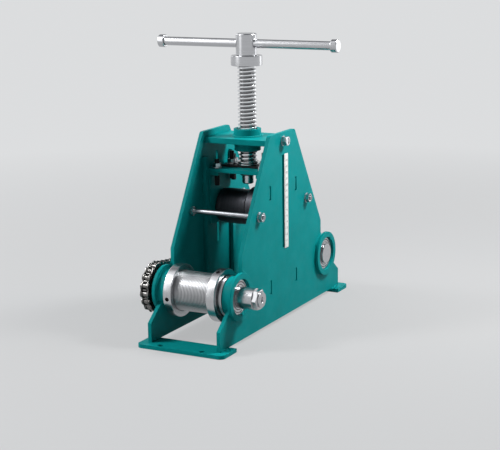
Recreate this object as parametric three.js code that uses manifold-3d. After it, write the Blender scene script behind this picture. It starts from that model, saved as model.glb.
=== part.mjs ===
// Ring roller: a hand driven bender that rolls bar and tube into rings between three rollers.
// Millimetres, +Z up. X runs along the machine, Y along the shafts, and the origin lies on the
// floor under the pressure screw. The drive shaft is at -X and its coupling points to -Y.

import * as THREE from "three";
import { mergeVertices } from "three/addons/utils/BufferGeometryUtils.js";
import Module from "manifold-3d";

const wasm = await Module();
wasm.setup();

// Fits
const gap = 0.3;
const overrun = 4;
const runningGap = 0.5;

// Facets round a circle, by the size of the piece
const fewSides = 10;
const someSides = 16;
const manySides = 24;
const holeSides = 10;
const cornerSides = 5;

// Sheet and the two feet
const wall = 6;
const footReach = 15.3;
const footLength = 44;
const footMargin = 12.5;
const footCornerRadius = 9;
const footHoleRadius = 4.25;
const footHoleInset = 8;
const footHoleY = 36;

// Side plates
const plateOuterY = 62.5;
const plateReach = 60.125;
const heelTopZ = 35.8;
const heelSlope = 0.786;
const uprightInset = 12.575;
const uprightTopZ = 137;
const plateTopHalf = 43.8;
const plateTopZ = 306;
const plateCornerRadius = 4;

// Reading slot and scale strip
const slotHalfWidth = 3;
const slotBottomZ = 120;
const slotTopDrop = 36;
const stripWidth = 13;
const stripThickness = 0.8;
const stripBelowSlot = 2;
const stripAboveSlot = 1;

// Chain, which sets the distance between the shafts
const chainPitch = 12.7;
const chainLinks = 66;
const sprocketTeeth = 17;
const chainRollerRadius = 4.255;
const chainPlateHeight = 11.8;
const chainInnerWidth = 7.75;
const chainOuterWidth = 14.5;
const chainLineReach = 12.45;
const chainRollerSides = 6;

// Shafts and bearings
const shaftZ = 76.4;
const shaftRadius = 15;
const bearingWidth = 13;
const bearingRaceWall = 3.4;
const bearingShieldDepth = 0.8;

// Bearing housings
const housingFlangeRadius = 37.3;
const housingFlangeWidth = 5.5;
const housingBodyRadius = 31;
const housingWall = 3.2;
const housingInset = 7;
const housingLip = 1.7;
const housingLipReach = 3.8;

// Drive end of the front shaft
const couplingRadius = 16.6;
const couplingLength = 29.5;
const hexagonWidth = 6;
const hexagonSides = 6;
const spigotRadius = 11.5;
const spigotWidth = 3;
const centreHoleRadius = 4.5;
const centreHoleDepth = 8;

// Head of the rear shaft
const rearHeadRadius = 16.8;
const rearHeadWidth = 3.5;

// Drums and set collars
const drumRadius = 31;
const collarRadius = 41;
const collarChamfer = 1.2;
const nearCollarY = -35.4;
const farCollarY = 39.4;
const collarWidth = 14;
const setScrewRadius = 3.4;
const setScrewDepth = 5;
const nearSetScrewAngle = 109;
const farSetScrewAngle = 188;

// Sprockets
const sprocketTipRadius = 37.6;
const sprocketTipHalfWidth = 1.2;
const sprocketSeatHalfAngle = 62;
const sprocketSeatSteps = 3;
const sprocketHubRadius = 24;
const sprocketSpacerRadius = 18.5;
const shaftEndProjection = 1.5;

// Guide bars
const guideInnerX = 39.5;
const guideWidth = 9.5;
const guideDepth = 6.7;
const guideBottomZ = 50;
const guideTopDrop = 22;
const tabWidth = 6;
const tabHeight = 22;
const lowerTabRise = 14.5;
const upperTabDrop = 50;

// Threaded rods, nuts and washers of one size
const boltRadius = 4;
const nutRadius = 7.5;
const nutHeight = 6.5;
const nutSides = 6;
const washerRadius = 8;
const washerThickness = 1.6;

// Tie rods
const tieX = 85;
const tieDrop = 120;
const tieEndProjection = 1.5;

// Bridge plate and its end bolts
const bridgeHalfLength = 40;
const bridgeDrop = 18;
const bridgeThickness = 9;
const bridgeBoltRadius = 3;
const bridgeBoltDepth = 24;
const bridgeHeadHeight = 8;

// Screw nut
const nutBodyRadius = 21;
const nutBodyDrop = 14;
const nutBossRadius = 22;
const nutBossHeight = 12;
const nutMouthDepth = 2;

// Pressure screw
const screwRadius = 15;
const screwThreadLength = 168;
const spindleRadius = 9.25;
const spindleDrop = 27;
const spindleChamfer = 1.5;
const clipRadius = 12.5;
const clipThickness = 1.6;
const clipGrooveDepth = 1.2;
const stopCollarRadius = 25;
const stopCollarHeight = 16;

// Hub and bar
const hubRadius = 16.75;
const hubHeight = 34.2;
const hubChamfer = 2;
const hubPinRadius = 10;
const barDrop = 16;
const barSeatHeight = 2.5;
const barRadius = 7;
const barHalfLength = 158;
const capRadius = 10.25;
const capWidth = 11;
const capWall = 3;
const capChamfer = 1;

// Carriage
const carriageClearance = 3.8;
const carriageThickness = 5.7;
const carriageDrop = 41;
const cheekThickness = 5;
const cheekBelowAxle = 26;
const cheekFlange = 19;
const cheekCornerRadius = 8;
const clampX = 28;
const clampInset = 6.7;
const clampBelowPlate = 28.6;
const clampAbovePlate = 14;
const retainerHalfLength = 15;
const retainerHalfWidth = 39;
const retainerThickness = 3.2;
const studY = 29;
const studBelowPlate = 21;
const studAbovePlate = 24;
const thrustHeight = 5.9;
const thrustRadius = 17.5;
const thrustGrooveRadius = 15;
const thrustRingWidth = 2.3;

// Press roller and its axle
const rollerDrop = 66;
const axleRadius = 10;
const axleHeadRadius = 13;
const axleHeadWidth = 2.4;
const rollerRadius = 28.5;
const rollerLipRadius = 29.5;
const rollerLipWidth = 3;
const rollerFromY = -7;
const rollerToY = 37;
const nearFlangeRadius = 34;
const nearFlangeClearance = 3;
const nearFlangeChamfer = 3;
const farFlangeRadius = 27.5;
const farFlangeClearance = 2.7;

// Places along X that follow from the sizes above
const shaftX = ((chainLinks - sprocketTeeth) / 2) * (chainPitch / 2);
const pitchRadius = chainPitch / (2 * Math.sin(Math.PI / sprocketTeeth));
const plateHalfLength = shaftX + plateReach;
const footHalfLength = plateHalfLength + footReach;
const uprightX = shaftX - uprightInset;
const guideOuterX = guideInnerX + guideWidth;
const carriageHalfLength = guideInnerX - runningGap;

// Places along Y
const plateInnerY = plateOuterY - wall;
const footHalfWidth = plateOuterY + footMargin;
const flangeInnerY = plateOuterY + gap;
const flangeOuterY = flangeInnerY + housingFlangeWidth;
const housingInnerY = plateInnerY - housingInset;
const bearingInnerY = housingInnerY + housingLip + gap;
const bearingOuterY = bearingInnerY + bearingWidth;
const bearingBore = shaftRadius + gap;
const pocketRadius = housingBodyRadius - housingWall;
const housingLipRadius = pocketRadius - housingLipReach;
const bearingRadius = pocketRadius - gap;
const shoulderY = bearingOuterY + gap;
const couplingEndY = shoulderY + couplingLength;
const drumEndY = housingInnerY - runningGap;
const toothWidth = chainInnerWidth - gap * 2;
const chainLineY = flangeOuterY + chainLineReach;
const sprocketOuterY = chainLineY + toothWidth / 2;
const shaftEndY = sprocketOuterY + shaftEndProjection;
const guideFaceY = plateInnerY - gap;
const carriageHalfWidth = plateInnerY - carriageClearance;
const cheekInnerY = carriageHalfWidth - cheekThickness;
const clampY = cheekInnerY - clampInset;
const axleEndY = carriageHalfWidth + gap + axleHeadWidth;
const nearFlangeEndY = nearFlangeClearance - cheekInnerY;
const farFlangeEndY = cheekInnerY - farFlangeClearance;

// Heights, which hang from the plates' top
const bridgeBottomZ = plateTopZ - bridgeDrop;
const bridgeTopZ = bridgeBottomZ + bridgeThickness;
const bridgeBoltZ = bridgeBottomZ + bridgeThickness / 2;
const nutBodyBottomZ = bridgeBottomZ - nutBodyDrop;
const slotTopZ = plateTopZ - slotTopDrop;
const tieZ = plateTopZ - tieDrop;
const guideTopZ = bridgeBottomZ - guideTopDrop;
const lowerTabZ = guideBottomZ + lowerTabRise;
const upperTabZ = guideTopZ - upperTabDrop;
const carriageTopZ = bridgeBottomZ - carriageDrop;
const carriageBottomZ = carriageTopZ - carriageThickness;
const cheekTopZ = carriageBottomZ - gap;
const rollerZ = carriageTopZ - rollerDrop;
const cheekBottomZ = rollerZ - cheekBelowAxle;
const clampBottomZ = carriageTopZ - clampBelowPlate;
const clampTopZ = carriageTopZ + clampAbovePlate;
const studBottomZ = carriageTopZ - studBelowPlate;
const studTopZ = carriageTopZ + studAbovePlate;
const retainerBottomZ = carriageTopZ + gap;
const retainerTopZ = retainerBottomZ + retainerThickness;
const thrustBottomZ = retainerTopZ + gap;
const thrustTopZ = thrustBottomZ + thrustHeight;
const spindleBottomZ = carriageTopZ - spindleDrop;
const clipTopZ = cheekTopZ - cheekThickness - gap;
const clipBottomZ = clipTopZ - clipThickness;
const screwThreadBottomZ = thrustTopZ + gap;
const screwThreadTopZ = screwThreadBottomZ + screwThreadLength;
const stopCollarBottomZ = screwThreadTopZ - stopCollarHeight;
const hubBottomZ = screwThreadTopZ + gap;
const hubTopZ = hubBottomZ + hubHeight;
const barZ = hubTopZ - barDrop;
const hubPinTopZ = barZ - barRadius - barSeatHeight;

// Colours and finishes, one material for each piece
const paint = { color: 0x0a8580, roughness: 0.45, metalness: 0.1 };
const steel = { color: 0xc4c8cc, roughness: 0.28, metalness: 0.95 };
const turnedSteel = { color: 0xb4b8bc, roughness: 0.35, metalness: 0.9 };
const zinc = { color: 0xaeb2b4, roughness: 0.4, metalness: 0.8 };
const darkSteel = { color: 0x3c3e40, roughness: 0.5, metalness: 0.7 };
const blackSteel = { color: 0x1b1b1e, roughness: 0.6, metalness: 0.4 };
const white = { color: 0xe8e8e4, roughness: 0.6, metalness: 0 };

const quarterTurn = Math.PI / 2;
const radians = THREE.MathUtils.degToRad;

// A closed mesh with shared corners, holding only its positions.
function welded(geometry) {
  const bare = geometry.clone();
  bare.deleteAttribute("normal");
  bare.deleteAttribute("uv");
  const shared = mergeVertices(bare);
  const corners = [];
  for (let i = 0; i < shared.index.count; i += 3) {
    const [a, b, c] = shared.index.array.slice(i, i + 3);
    if (a !== b && b !== c && c !== a) corners.push(a, b, c);
  }
  shared.setIndex(corners);
  return shared;
}

function solidOf(geometry) {
  const shared = welded(geometry);
  return new wasm.Manifold(new wasm.Mesh({
    numProp: 3,
    vertProperties: shared.attributes.position.array,
    triVerts: new Uint32Array(shared.index.array),
  }));
}

function geometryOf(solid) {
  const mesh = solid.getMesh();
  const geometry = new THREE.BufferGeometry();
  geometry.setAttribute("position", new THREE.BufferAttribute(mesh.vertProperties, 3));
  geometry.setIndex(new THREE.BufferAttribute(mesh.triVerts, 1));
  return geometry;
}

// The body with every tool taken out of it.
function cut(body, tools) {
  let rest = solidOf(body);
  for (const tool of tools) rest = rest.subtract(solidOf(tool));
  return geometryOf(rest);
}

// All the bodies as one solid.
function join(bodies) {
  let whole = solidOf(bodies[0]);
  for (const body of bodies.slice(1)) whole = whole.add(solidOf(body));
  return geometryOf(whole);
}

function block(x, y, z) {
  const [xFrom, xTo] = x;
  const [yFrom, yTo] = y;
  const [zFrom, zTo] = z;
  const geometry = new THREE.BoxGeometry(xTo - xFrom, yTo - yFrom, zTo - zFrom);
  geometry.translate((xFrom + xTo) / 2, (yFrom + yTo) / 2, (zFrom + zTo) / 2);
  return geometry;
}

// A profile of [radius, height] points turned about the upright line through x, y.
// It starts and ends on that line, or closes on its first point.
function turnedUpright(profile, facets, x = 0, y = 0) {
  const points = profile.map(([radius, height]) => new THREE.Vector2(radius, height));
  const geometry = new THREE.LatheGeometry(points, facets);
  geometry.rotateX(quarterTurn);
  geometry.translate(x, y, 0);
  return geometry;
}

// The same for pieces along Y, with [radius, y] points, about the line through x, z.
function turnedAcross(profile, facets, x = 0, z = 0) {
  const points = profile.map(([radius, along]) => new THREE.Vector2(radius, along));
  const geometry = new THREE.LatheGeometry(points, facets);
  geometry.translate(x, 0, z);
  return geometry;
}

function rodProfile(radius, from, to) {
  return [[0, from], [radius, from], [radius, to], [0, to]];
}

function ringProfile(outer, inner, from, to) {
  return [[inner, from], [outer, from], [outer, to], [inner, to], [inner, from]];
}

// A piece along Y that mirrors to the other side with its profile turned round.
function mirroredAcross(profile, side) {
  return side > 0 ? profile : profile.map(([radius, along]) => [radius, -along]).reverse();
}

// An outline of [x, y] or [x, y, corner radius] points, corners rounded where they have a radius.
function outline(corners) {
  const shape = new THREE.Shape();
  corners.forEach(([x, y, radius = 0], i) => {
    const here = new THREE.Vector2(x, y);
    const before = new THREE.Vector2(...corners.at(i - 1).slice(0, 2));
    const after = new THREE.Vector2(...corners.at((i + 1) % corners.length).slice(0, 2));
    const enter = here.clone().add(before.sub(here).setLength(radius));
    const leave = here.clone().add(after.sub(here).setLength(radius));
    if (i === 0) shape.moveTo(enter.x, enter.y);
    else shape.lineTo(enter.x, enter.y);
    if (radius > 0) shape.quadraticCurveTo(x, y, leave.x, leave.y);
  });
  shape.closePath();
  return shape;
}

// A drill through a level piece at each [x, y], or through a standing piece at each [x, z].
function drillsDown(places, radius, [zFrom, zTo]) {
  const profile = rodProfile(radius, zFrom - overrun, zTo + overrun);
  return places.map(([x, y]) => turnedUpright(profile, holeSides, x, y));
}

function drillsAcross(places, radius, [yFrom, yTo]) {
  const profile = rodProfile(radius, yFrom - overrun, yTo + overrun);
  return places.map(([x, z]) => turnedAcross(profile, holeSides, x, z));
}

// A flat outline lying in X and Y, from one height to another.
function levelSheet(shape, [zFrom, zTo], curveSegments) {
  const geometry = new THREE.ExtrudeGeometry(shape, {
    depth: zTo - zFrom,
    bevelEnabled: false,
    curveSegments,
  });
  geometry.translate(0, 0, zFrom);
  return geometry;
}

// A flat outline standing in X and Z, from one y to another.
function standingSheet(shape, [yFrom, yTo], curveSegments) {
  const geometry = new THREE.ExtrudeGeometry(shape, {
    depth: yTo - yFrom,
    bevelEnabled: false,
    curveSegments,
  });
  geometry.rotateX(quarterTurn);
  geometry.translate(0, yTo, 0);
  return geometry;
}

// [from, to] along Y on one side of the machine, side -1 near and +1 far.
function spanOn(side, inner, outer) {
  return side > 0 ? [inner, outer] : [-outer, -inner];
}

function widened([from, to], by) {
  return [from - by, to + by];
}

function piece(group, name, geometry, finish) {
  const mesh = new THREE.Mesh(welded(geometry), new THREE.MeshStandardMaterial(finish));
  mesh.name = name;
  group.add(mesh);
}

const sides = [["near", -1], ["far", 1]];
const ends = [["front", -1], ["rear", 1]];

// Frame

function foot(end) {
  const inner = end * (footHalfLength - footLength);
  const outer = end * footHalfLength;
  const shape = outline([
    [inner, -footHalfWidth],
    [outer, -footHalfWidth, footCornerRadius],
    [outer, footHalfWidth, footCornerRadius],
    [inner, footHalfWidth],
  ]);
  const holeX = outer - end * footHoleInset;
  const span = [0, wall];
  const holes = drillsDown([[holeX, -footHoleY], [holeX, footHoleY]], footHoleRadius, span);
  return cut(levelSheet(shape, span, cornerSides), holes);
}

// The heel slopes up and inward until the housing's bore takes over.
function plateOutline() {
  const slopeEndZ = heelTopZ + (plateHalfLength - uprightX) * heelSlope;
  const right = [
    [plateHalfLength, wall + gap],
    [plateHalfLength, heelTopZ],
    [uprightX, slopeEndZ],
    [uprightX, uprightTopZ],
    [plateTopHalf, plateTopZ, plateCornerRadius],
  ];
  const left = right.map(([x, z, ...radius]) => [-x, z, ...radius]).reverse();
  return outline([...right, ...left]);
}

function tabSpans() {
  const spans = [];
  for (const [, end] of ends) {
    const x = end > 0 ? [guideOuterX - tabWidth, guideOuterX] : [-guideOuterX, tabWidth - guideOuterX];
    for (const middle of [lowerTabZ, upperTabZ]) {
      spans.push({ x, z: [middle - tabHeight / 2, middle + tabHeight / 2] });
    }
  }
  return spans;
}

function sidePlate(side) {
  const span = spanOn(side, plateInnerY, plateOuterY);
  const through = widened(span, overrun);
  const bore = rodProfile(housingBodyRadius + gap, ...through);
  return cut(standingSheet(plateOutline(), span, cornerSides), [
    block([-slotHalfWidth, slotHalfWidth], through, [slotBottomZ, slotTopZ]),
    ...tabSpans().map(({ x, z }) => block(widened(x, gap), through, widened(z, gap))),
    ...drillsAcross([[-tieX, tieZ], [tieX, tieZ]], boltRadius + gap, span),
    ...drillsAcross([[0, bridgeBoltZ]], bridgeBoltRadius + gap, span),
    ...ends.map(([, end]) => turnedAcross(bore, manySides, end * shaftX, shaftZ)),
  ]);
}

function housing(side, end) {
  const profile = [
    [housingLipRadius, housingInnerY],
    [housingBodyRadius, housingInnerY],
    [housingBodyRadius, flangeInnerY],
    [housingFlangeRadius, flangeInnerY],
    [housingFlangeRadius, flangeOuterY],
    [pocketRadius, flangeOuterY],
    [pocketRadius, housingInnerY + housingLip],
    [housingLipRadius, housingInnerY + housingLip],
    [housingLipRadius, housingInnerY],
  ];
  return turnedAcross(mirroredAcross(profile, side), manySides, end * shaftX, shaftZ);
}

function bearing(side, end) {
  const outerRace = bearingRadius - bearingRaceWall;
  const innerRace = bearingBore + bearingRaceWall;
  const profile = [
    [bearingBore, bearingInnerY],
    [bearingRadius, bearingInnerY],
    [bearingRadius, bearingOuterY],
    [outerRace, bearingOuterY],
    [outerRace, bearingOuterY - bearingShieldDepth],
    [innerRace, bearingOuterY - bearingShieldDepth],
    [innerRace, bearingOuterY],
    [bearingBore, bearingOuterY],
    [bearingBore, bearingInnerY],
  ];
  return turnedAcross(mirroredAcross(profile, side), manySides, end * shaftX, shaftZ);
}

function guideBar(side, end) {
  const innerY = guideFaceY - guideDepth;
  const x = end > 0 ? [guideInnerX, guideOuterX] : [-guideOuterX, -guideInnerX];
  const bar = block(x, spanOn(side, innerY, guideFaceY), [guideBottomZ, guideTopZ]);
  const tabs = tabSpans()
    .filter((span) => Math.sign(span.x[0]) === end)
    .map((span) => block(span.x, spanOn(side, guideFaceY - wall / 2, plateOuterY - gap), span.z));
  return join([bar, ...tabs]);
}

function hexagon(from, to) {
  return rodProfile(nutRadius, from, to);
}

// Nut and washer outside a side plate.
function tieNut(side, end) {
  const seat = plateOuterY + gap;
  const washer = mirroredAcross(ringProfile(washerRadius, boltRadius + gap, seat, seat + washerThickness), side);
  const nutFrom = seat + washerThickness / 2;
  const nutTo = seat + washerThickness + nutHeight;
  const nut = mirroredAcross(hexagon(nutFrom, nutTo), side);
  const hole = rodProfile(boltRadius + gap, ...spanOn(side, seat - overrun, nutTo + overrun));
  const body = join([
    turnedAcross(washer, someSides, end * tieX, tieZ),
    turnedAcross(nut, nutSides, end * tieX, tieZ),
  ]);
  return cut(body, [turnedAcross(hole, fewSides, end * tieX, tieZ)]);
}

function tieRod(end) {
  const half = plateOuterY + gap + washerThickness + nutHeight + tieEndProjection;
  return turnedAcross(rodProfile(boltRadius, -half, half), fewSides, end * tieX, tieZ);
}

// Head, washer and shank, screwed into the end of the bridge plate.
function bridgeBolt(side) {
  const seat = plateOuterY + gap;
  const headTo = seat + washerThickness + bridgeHeadHeight;
  const washer = mirroredAcross(rodProfile(washerRadius, seat, seat + washerThickness), side);
  const head = mirroredAcross(hexagon(seat + washerThickness / 2, headTo), side);
  const shank = rodProfile(bridgeBoltRadius, ...spanOn(side, plateInnerY - bridgeBoltDepth, seat + washerThickness));
  return join([
    turnedAcross(washer, someSides, 0, bridgeBoltZ),
    turnedAcross(head, nutSides, 0, bridgeBoltZ),
    turnedAcross(shank, fewSides, 0, bridgeBoltZ),
  ]);
}

function bridgePlate() {
  const halfWidth = plateInnerY - gap;
  const span = [bridgeBottomZ, bridgeTopZ];
  const plate = block([-bridgeHalfLength, bridgeHalfLength], [-halfWidth, halfWidth], span);
  const nutHole = turnedUpright(rodProfile(nutBodyRadius + gap, ...widened(span, overrun)), manySides);
  const boltHoles = sides.map(([, side]) => {
    const reach = spanOn(side, plateInnerY - bridgeBoltDepth - gap, plateInnerY + overrun);
    return turnedAcross(rodProfile(bridgeBoltRadius + gap, ...reach), holeSides, 0, bridgeBoltZ);
  });
  return cut(plate, [nutHole, ...boltHoles]);
}

// The body passes down through the bridge plate and its boss rests on top.
function screwNut() {
  const bossBottomZ = bridgeTopZ + gap;
  const topZ = bridgeTopZ + nutBossHeight;
  const bore = screwRadius + gap;
  return turnedUpright([
    [bore, nutBodyBottomZ],
    [nutBodyRadius, nutBodyBottomZ],
    [nutBodyRadius, bossBottomZ],
    [nutBossRadius, bossBottomZ],
    [nutBossRadius, topZ],
    [bore + nutMouthDepth, topZ],
    [bore, topZ - nutMouthDepth],
    [bore, nutBodyBottomZ],
  ], manySides);
}

function scaleStrip() {
  const face = -plateOuterY - gap;
  const left = slotHalfWidth + gap;
  const heights = [slotBottomZ - stripBelowSlot, slotTopZ + stripAboveSlot];
  return block([left, left + stripWidth], [face - stripThickness, face], heights);
}

// Chain and sprockets

function chainLoop(offset) {
  const radius = pitchRadius + offset;
  const path = new THREE.Shape();
  path.moveTo(-shaftX, shaftZ + radius);
  path.lineTo(shaftX, shaftZ + radius);
  path.absarc(shaftX, shaftZ, radius, quarterTurn, -quarterTurn, true);
  path.lineTo(-shaftX, shaftZ - radius);
  path.absarc(-shaftX, shaftZ, radius, -quarterTurn, -quarterTurn * 3, true);
  return path;
}

// The middles of the rollers, one pitch apart all round the loop. One roller sits at the top of
// the front sprocket, and the odd tooth count leaves one at the bottom of the rear sprocket.
function chainJoints() {
  const places = [];
  const tooth = (Math.PI * 2) / sprocketTeeth;
  const straight = (chainLinks - sprocketTeeth - 1) / 2;
  for (const end of [-1, 1]) {
    for (let i = 0; i <= straight; i += 1) {
      const x = end * (shaftX - chainPitch * i);
      places.push([x, shaftZ - end * pitchRadius]);
    }
    for (let i = 1; i <= (sprocketTeeth - 1) / 2; i += 1) {
      const angle = tooth * i;
      const x = end * (shaftX + pitchRadius * Math.sin(angle));
      places.push([x, shaftZ - end * pitchRadius * Math.cos(angle)]);
    }
  }
  return places;
}

function driveChain() {
  const inner = chainInnerWidth / 2;
  const outer = chainOuterWidth / 2;
  const bands = [[-outer, -inner], [inner, outer]].map(([from, to]) => {
    const span = [chainLineY + from, chainLineY + to];
    const inside = standingSheet(chainLoop(-chainPlateHeight / 2), widened(span, overrun), cornerSides);
    return cut(standingSheet(chainLoop(chainPlateHeight / 2), span, cornerSides), [inside]);
  });
  const reach = (inner + outer) / 2;
  const roller = rodProfile(chainRollerRadius, chainLineY - reach, chainLineY + reach);
  const rollers = chainJoints().map(([x, z]) => turnedAcross(roller, chainRollerSides, x, z));
  return join([...bands, ...rollers]);
}

// One round seat for each roller and a narrow tip between two seats.
function sprocketOutline(x, firstSeat) {
  const tooth = (Math.PI * 2) / sprocketTeeth;
  const tipHalfAngle = sprocketTipHalfWidth / sprocketTipRadius;
  const seatRadius = chainRollerRadius + gap;
  const seatHalf = radians(sprocketSeatHalfAngle);
  const points = [];
  for (let i = 0; i < sprocketTeeth; i += 1) {
    const middle = firstSeat + tooth * i;
    for (let step = 0; step <= sprocketSeatSteps; step += 1) {
      const swing = -seatHalf + (seatHalf * 2 * step) / sprocketSeatSteps;
      const inward = middle + Math.PI - swing;
      points.push([
        x + pitchRadius * Math.cos(middle) + seatRadius * Math.cos(inward),
        shaftZ + pitchRadius * Math.sin(middle) + seatRadius * Math.sin(inward),
      ]);
    }
    for (const tip of [tooth / 2 - tipHalfAngle, tooth / 2 + tipHalfAngle]) {
      points.push([
        x + sprocketTipRadius * Math.cos(middle + tip),
        shaftZ + sprocketTipRadius * Math.sin(middle + tip),
      ]);
    }
  }
  return outline(points);
}

function sprocket(end) {
  const x = end * shaftX;
  const teethFrom = sprocketOuterY - toothWidth;
  const hub = [
    [0, shoulderY],
    [sprocketSpacerRadius, shoulderY],
    [sprocketSpacerRadius, flangeOuterY + runningGap],
    [sprocketHubRadius, flangeOuterY + runningGap],
    [sprocketHubRadius, sprocketOuterY - toothWidth / 2],
    [0, sprocketOuterY - toothWidth / 2],
  ];
  const body = join([
    standingSheet(sprocketOutline(x, -end * quarterTurn), [teethFrom, sprocketOuterY], fewSides),
    turnedAcross(hub, manySides, x, shaftZ),
  ]);
  const bore = rodProfile(shaftRadius + gap, bearingOuterY - overrun, sprocketOuterY + overrun);
  return cut(body, [turnedAcross(bore, manySides, x, shaftZ)]);
}

// Shafts

// The hexagon has a flat on top.
function frontShaft() {
  const hexagonTo = -couplingEndY;
  const spigotFrom = hexagonTo - hexagonWidth - spigotWidth;
  const core = [
    [0, spigotFrom],
    [spigotRadius, spigotFrom],
    [spigotRadius, hexagonTo],
    [couplingRadius, hexagonTo],
    [couplingRadius, -shoulderY],
    [shaftRadius, -shoulderY],
    [shaftRadius, shaftEndY],
    [0, shaftEndY],
  ];
  const hexagonSpan = [hexagonTo - hexagonWidth, hexagonTo + hexagonWidth / 2];
  const hex = turnedAcross(rodProfile(couplingRadius, ...hexagonSpan), hexagonSides);
  hex.rotateY(quarterTurn);
  hex.translate(-shaftX, 0, shaftZ);
  const body = join([turnedAcross(core, manySides, -shaftX, shaftZ), hex]);
  const centre = rodProfile(centreHoleRadius, spigotFrom - overrun, spigotFrom + centreHoleDepth);
  return cut(body, [turnedAcross(centre, fewSides, -shaftX, shaftZ)]);
}

function rearShaft() {
  const headFrom = -shoulderY - rearHeadWidth;
  return turnedAcross([
    [0, headFrom],
    [rearHeadRadius, headFrom],
    [rearHeadRadius, -shoulderY],
    [shaftRadius, -shoulderY],
    [shaftRadius, shaftEndY],
    [0, shaftEndY],
  ], manySides, shaftX, shaftZ);
}

// A drum between the housings, clear of both.
function drum(end) {
  const profile = ringProfile(drumRadius, shaftRadius + gap, -drumEndY, drumEndY);
  return turnedAcross(profile, manySides, end * shaftX, shaftZ);
}

// A ring clamped on the drum by a set screw, with the screw's hole cut into its rim.
function setCollar(middleY, end, screwAngle) {
  const from = middleY - collarWidth / 2;
  const to = middleY + collarWidth / 2;
  const bore = drumRadius + gap;
  const ring = turnedAcross([
    [bore, from],
    [collarRadius - collarChamfer, from],
    [collarRadius, from + collarChamfer],
    [collarRadius, to - collarChamfer],
    [collarRadius - collarChamfer, to],
    [bore, to],
    [bore, from],
  ], manySides, end * shaftX, shaftZ);
  const hole = new THREE.CylinderGeometry(setScrewRadius, setScrewRadius, setScrewDepth + overrun, fewSides);
  hole.translate(0, collarRadius + (overrun - setScrewDepth) / 2, 0);
  hole.rotateX(quarterTurn);
  hole.rotateY(quarterTurn - radians(screwAngle));
  hole.translate(end * shaftX, middleY, shaftZ);
  return cut(ring, [hole]);
}

// Pressure screw with its bar

function pressureScrew() {
  const grooveRadius = spindleRadius - clipGrooveDepth;
  return turnedUpright([
    [0, spindleBottomZ],
    [spindleRadius - spindleChamfer, spindleBottomZ],
    [spindleRadius, spindleBottomZ + spindleChamfer],
    [spindleRadius, clipBottomZ - gap],
    [grooveRadius, clipBottomZ - gap],
    [grooveRadius, clipTopZ + gap / 2],
    [spindleRadius, clipTopZ + gap / 2],
    [spindleRadius, screwThreadBottomZ],
    [screwRadius, screwThreadBottomZ],
    [screwRadius, screwThreadTopZ],
    [hubPinRadius, screwThreadTopZ],
    [hubPinRadius, hubPinTopZ],
    [0, hubPinTopZ],
  ], manySides);
}

function retainingClip() {
  const inner = spindleRadius - clipGrooveDepth + gap;
  return turnedUpright(ringProfile(clipRadius, inner, clipBottomZ, clipTopZ), someSides);
}

// Two hardened rings with the rolling cage between them.
function thrustBearing() {
  const bore = spindleRadius + gap;
  return turnedUpright([
    [bore, thrustBottomZ],
    [thrustRadius, thrustBottomZ],
    [thrustRadius, thrustBottomZ + thrustRingWidth],
    [thrustGrooveRadius, thrustBottomZ + thrustRingWidth],
    [thrustGrooveRadius, thrustTopZ - thrustRingWidth],
    [thrustRadius, thrustTopZ - thrustRingWidth],
    [thrustRadius, thrustTopZ],
    [bore, thrustTopZ],
    [bore, thrustBottomZ],
  ], manySides);
}

function stopCollar() {
  const bore = screwRadius + gap;
  return turnedUpright(ringProfile(stopCollarRadius, bore, stopCollarBottomZ, screwThreadTopZ), manySides);
}

function barHub() {
  const pinBore = hubPinRadius + gap;
  const body = turnedUpright([
    [0, hubPinTopZ + gap],
    [pinBore, hubPinTopZ + gap],
    [pinBore, hubBottomZ],
    [hubRadius, hubBottomZ],
    [hubRadius, hubTopZ - hubChamfer],
    [hubRadius - hubChamfer, hubTopZ],
    [0, hubTopZ],
  ], manySides);
  const reach = hubRadius + overrun;
  return cut(body, [turnedAcross(rodProfile(barRadius + gap, -reach, reach), someSides, 0, barZ)]);
}

function bar() {
  const half = barHalfLength - capWall - gap;
  return turnedAcross(rodProfile(barRadius, -half, half), someSides, 0, barZ);
}

function barCap(side) {
  const bore = barRadius + gap;
  const floorY = barHalfLength - capWall;
  const mouthY = barHalfLength - capWidth;
  const profile = [
    [bore, mouthY],
    [capRadius - capChamfer, mouthY],
    [capRadius, mouthY + capChamfer],
    [capRadius, barHalfLength - capChamfer],
    [capRadius - capChamfer, barHalfLength],
    [0, barHalfLength],
    [0, floorY],
    [bore, floorY],
    [bore, mouthY],
  ];
  return turnedAcross(mirroredAcross(profile, side), someSides, 0, barZ);
}

// Carriage

const clampPlaces = ends.flatMap(([, end]) => sides.map(([, side]) => [end * clampX, side * clampY]));

const studPlaces = sides.map(([, side]) => [0, side * studY]);

// A rectangular plate round the spindle, drilled for the studs.
function spindlePlate(halfX, halfY, span, boltPlaces) {
  const plate = block([-halfX, halfX], [-halfY, halfY], span);
  const spindleHole = turnedUpright(rodProfile(spindleRadius + gap, ...widened(span, overrun)), someSides);
  return cut(plate, [spindleHole, ...drillsDown(boltPlaces, boltRadius + gap, span)]);
}

function carriagePlate() {
  const places = [...clampPlaces, ...studPlaces];
  return spindlePlate(carriageHalfLength, carriageHalfWidth, [carriageBottomZ, carriageTopZ], places);
}

function retainerPlate() {
  const span = [retainerBottomZ, retainerTopZ];
  return spindlePlate(retainerHalfLength, retainerHalfWidth, span, studPlaces);
}

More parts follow.
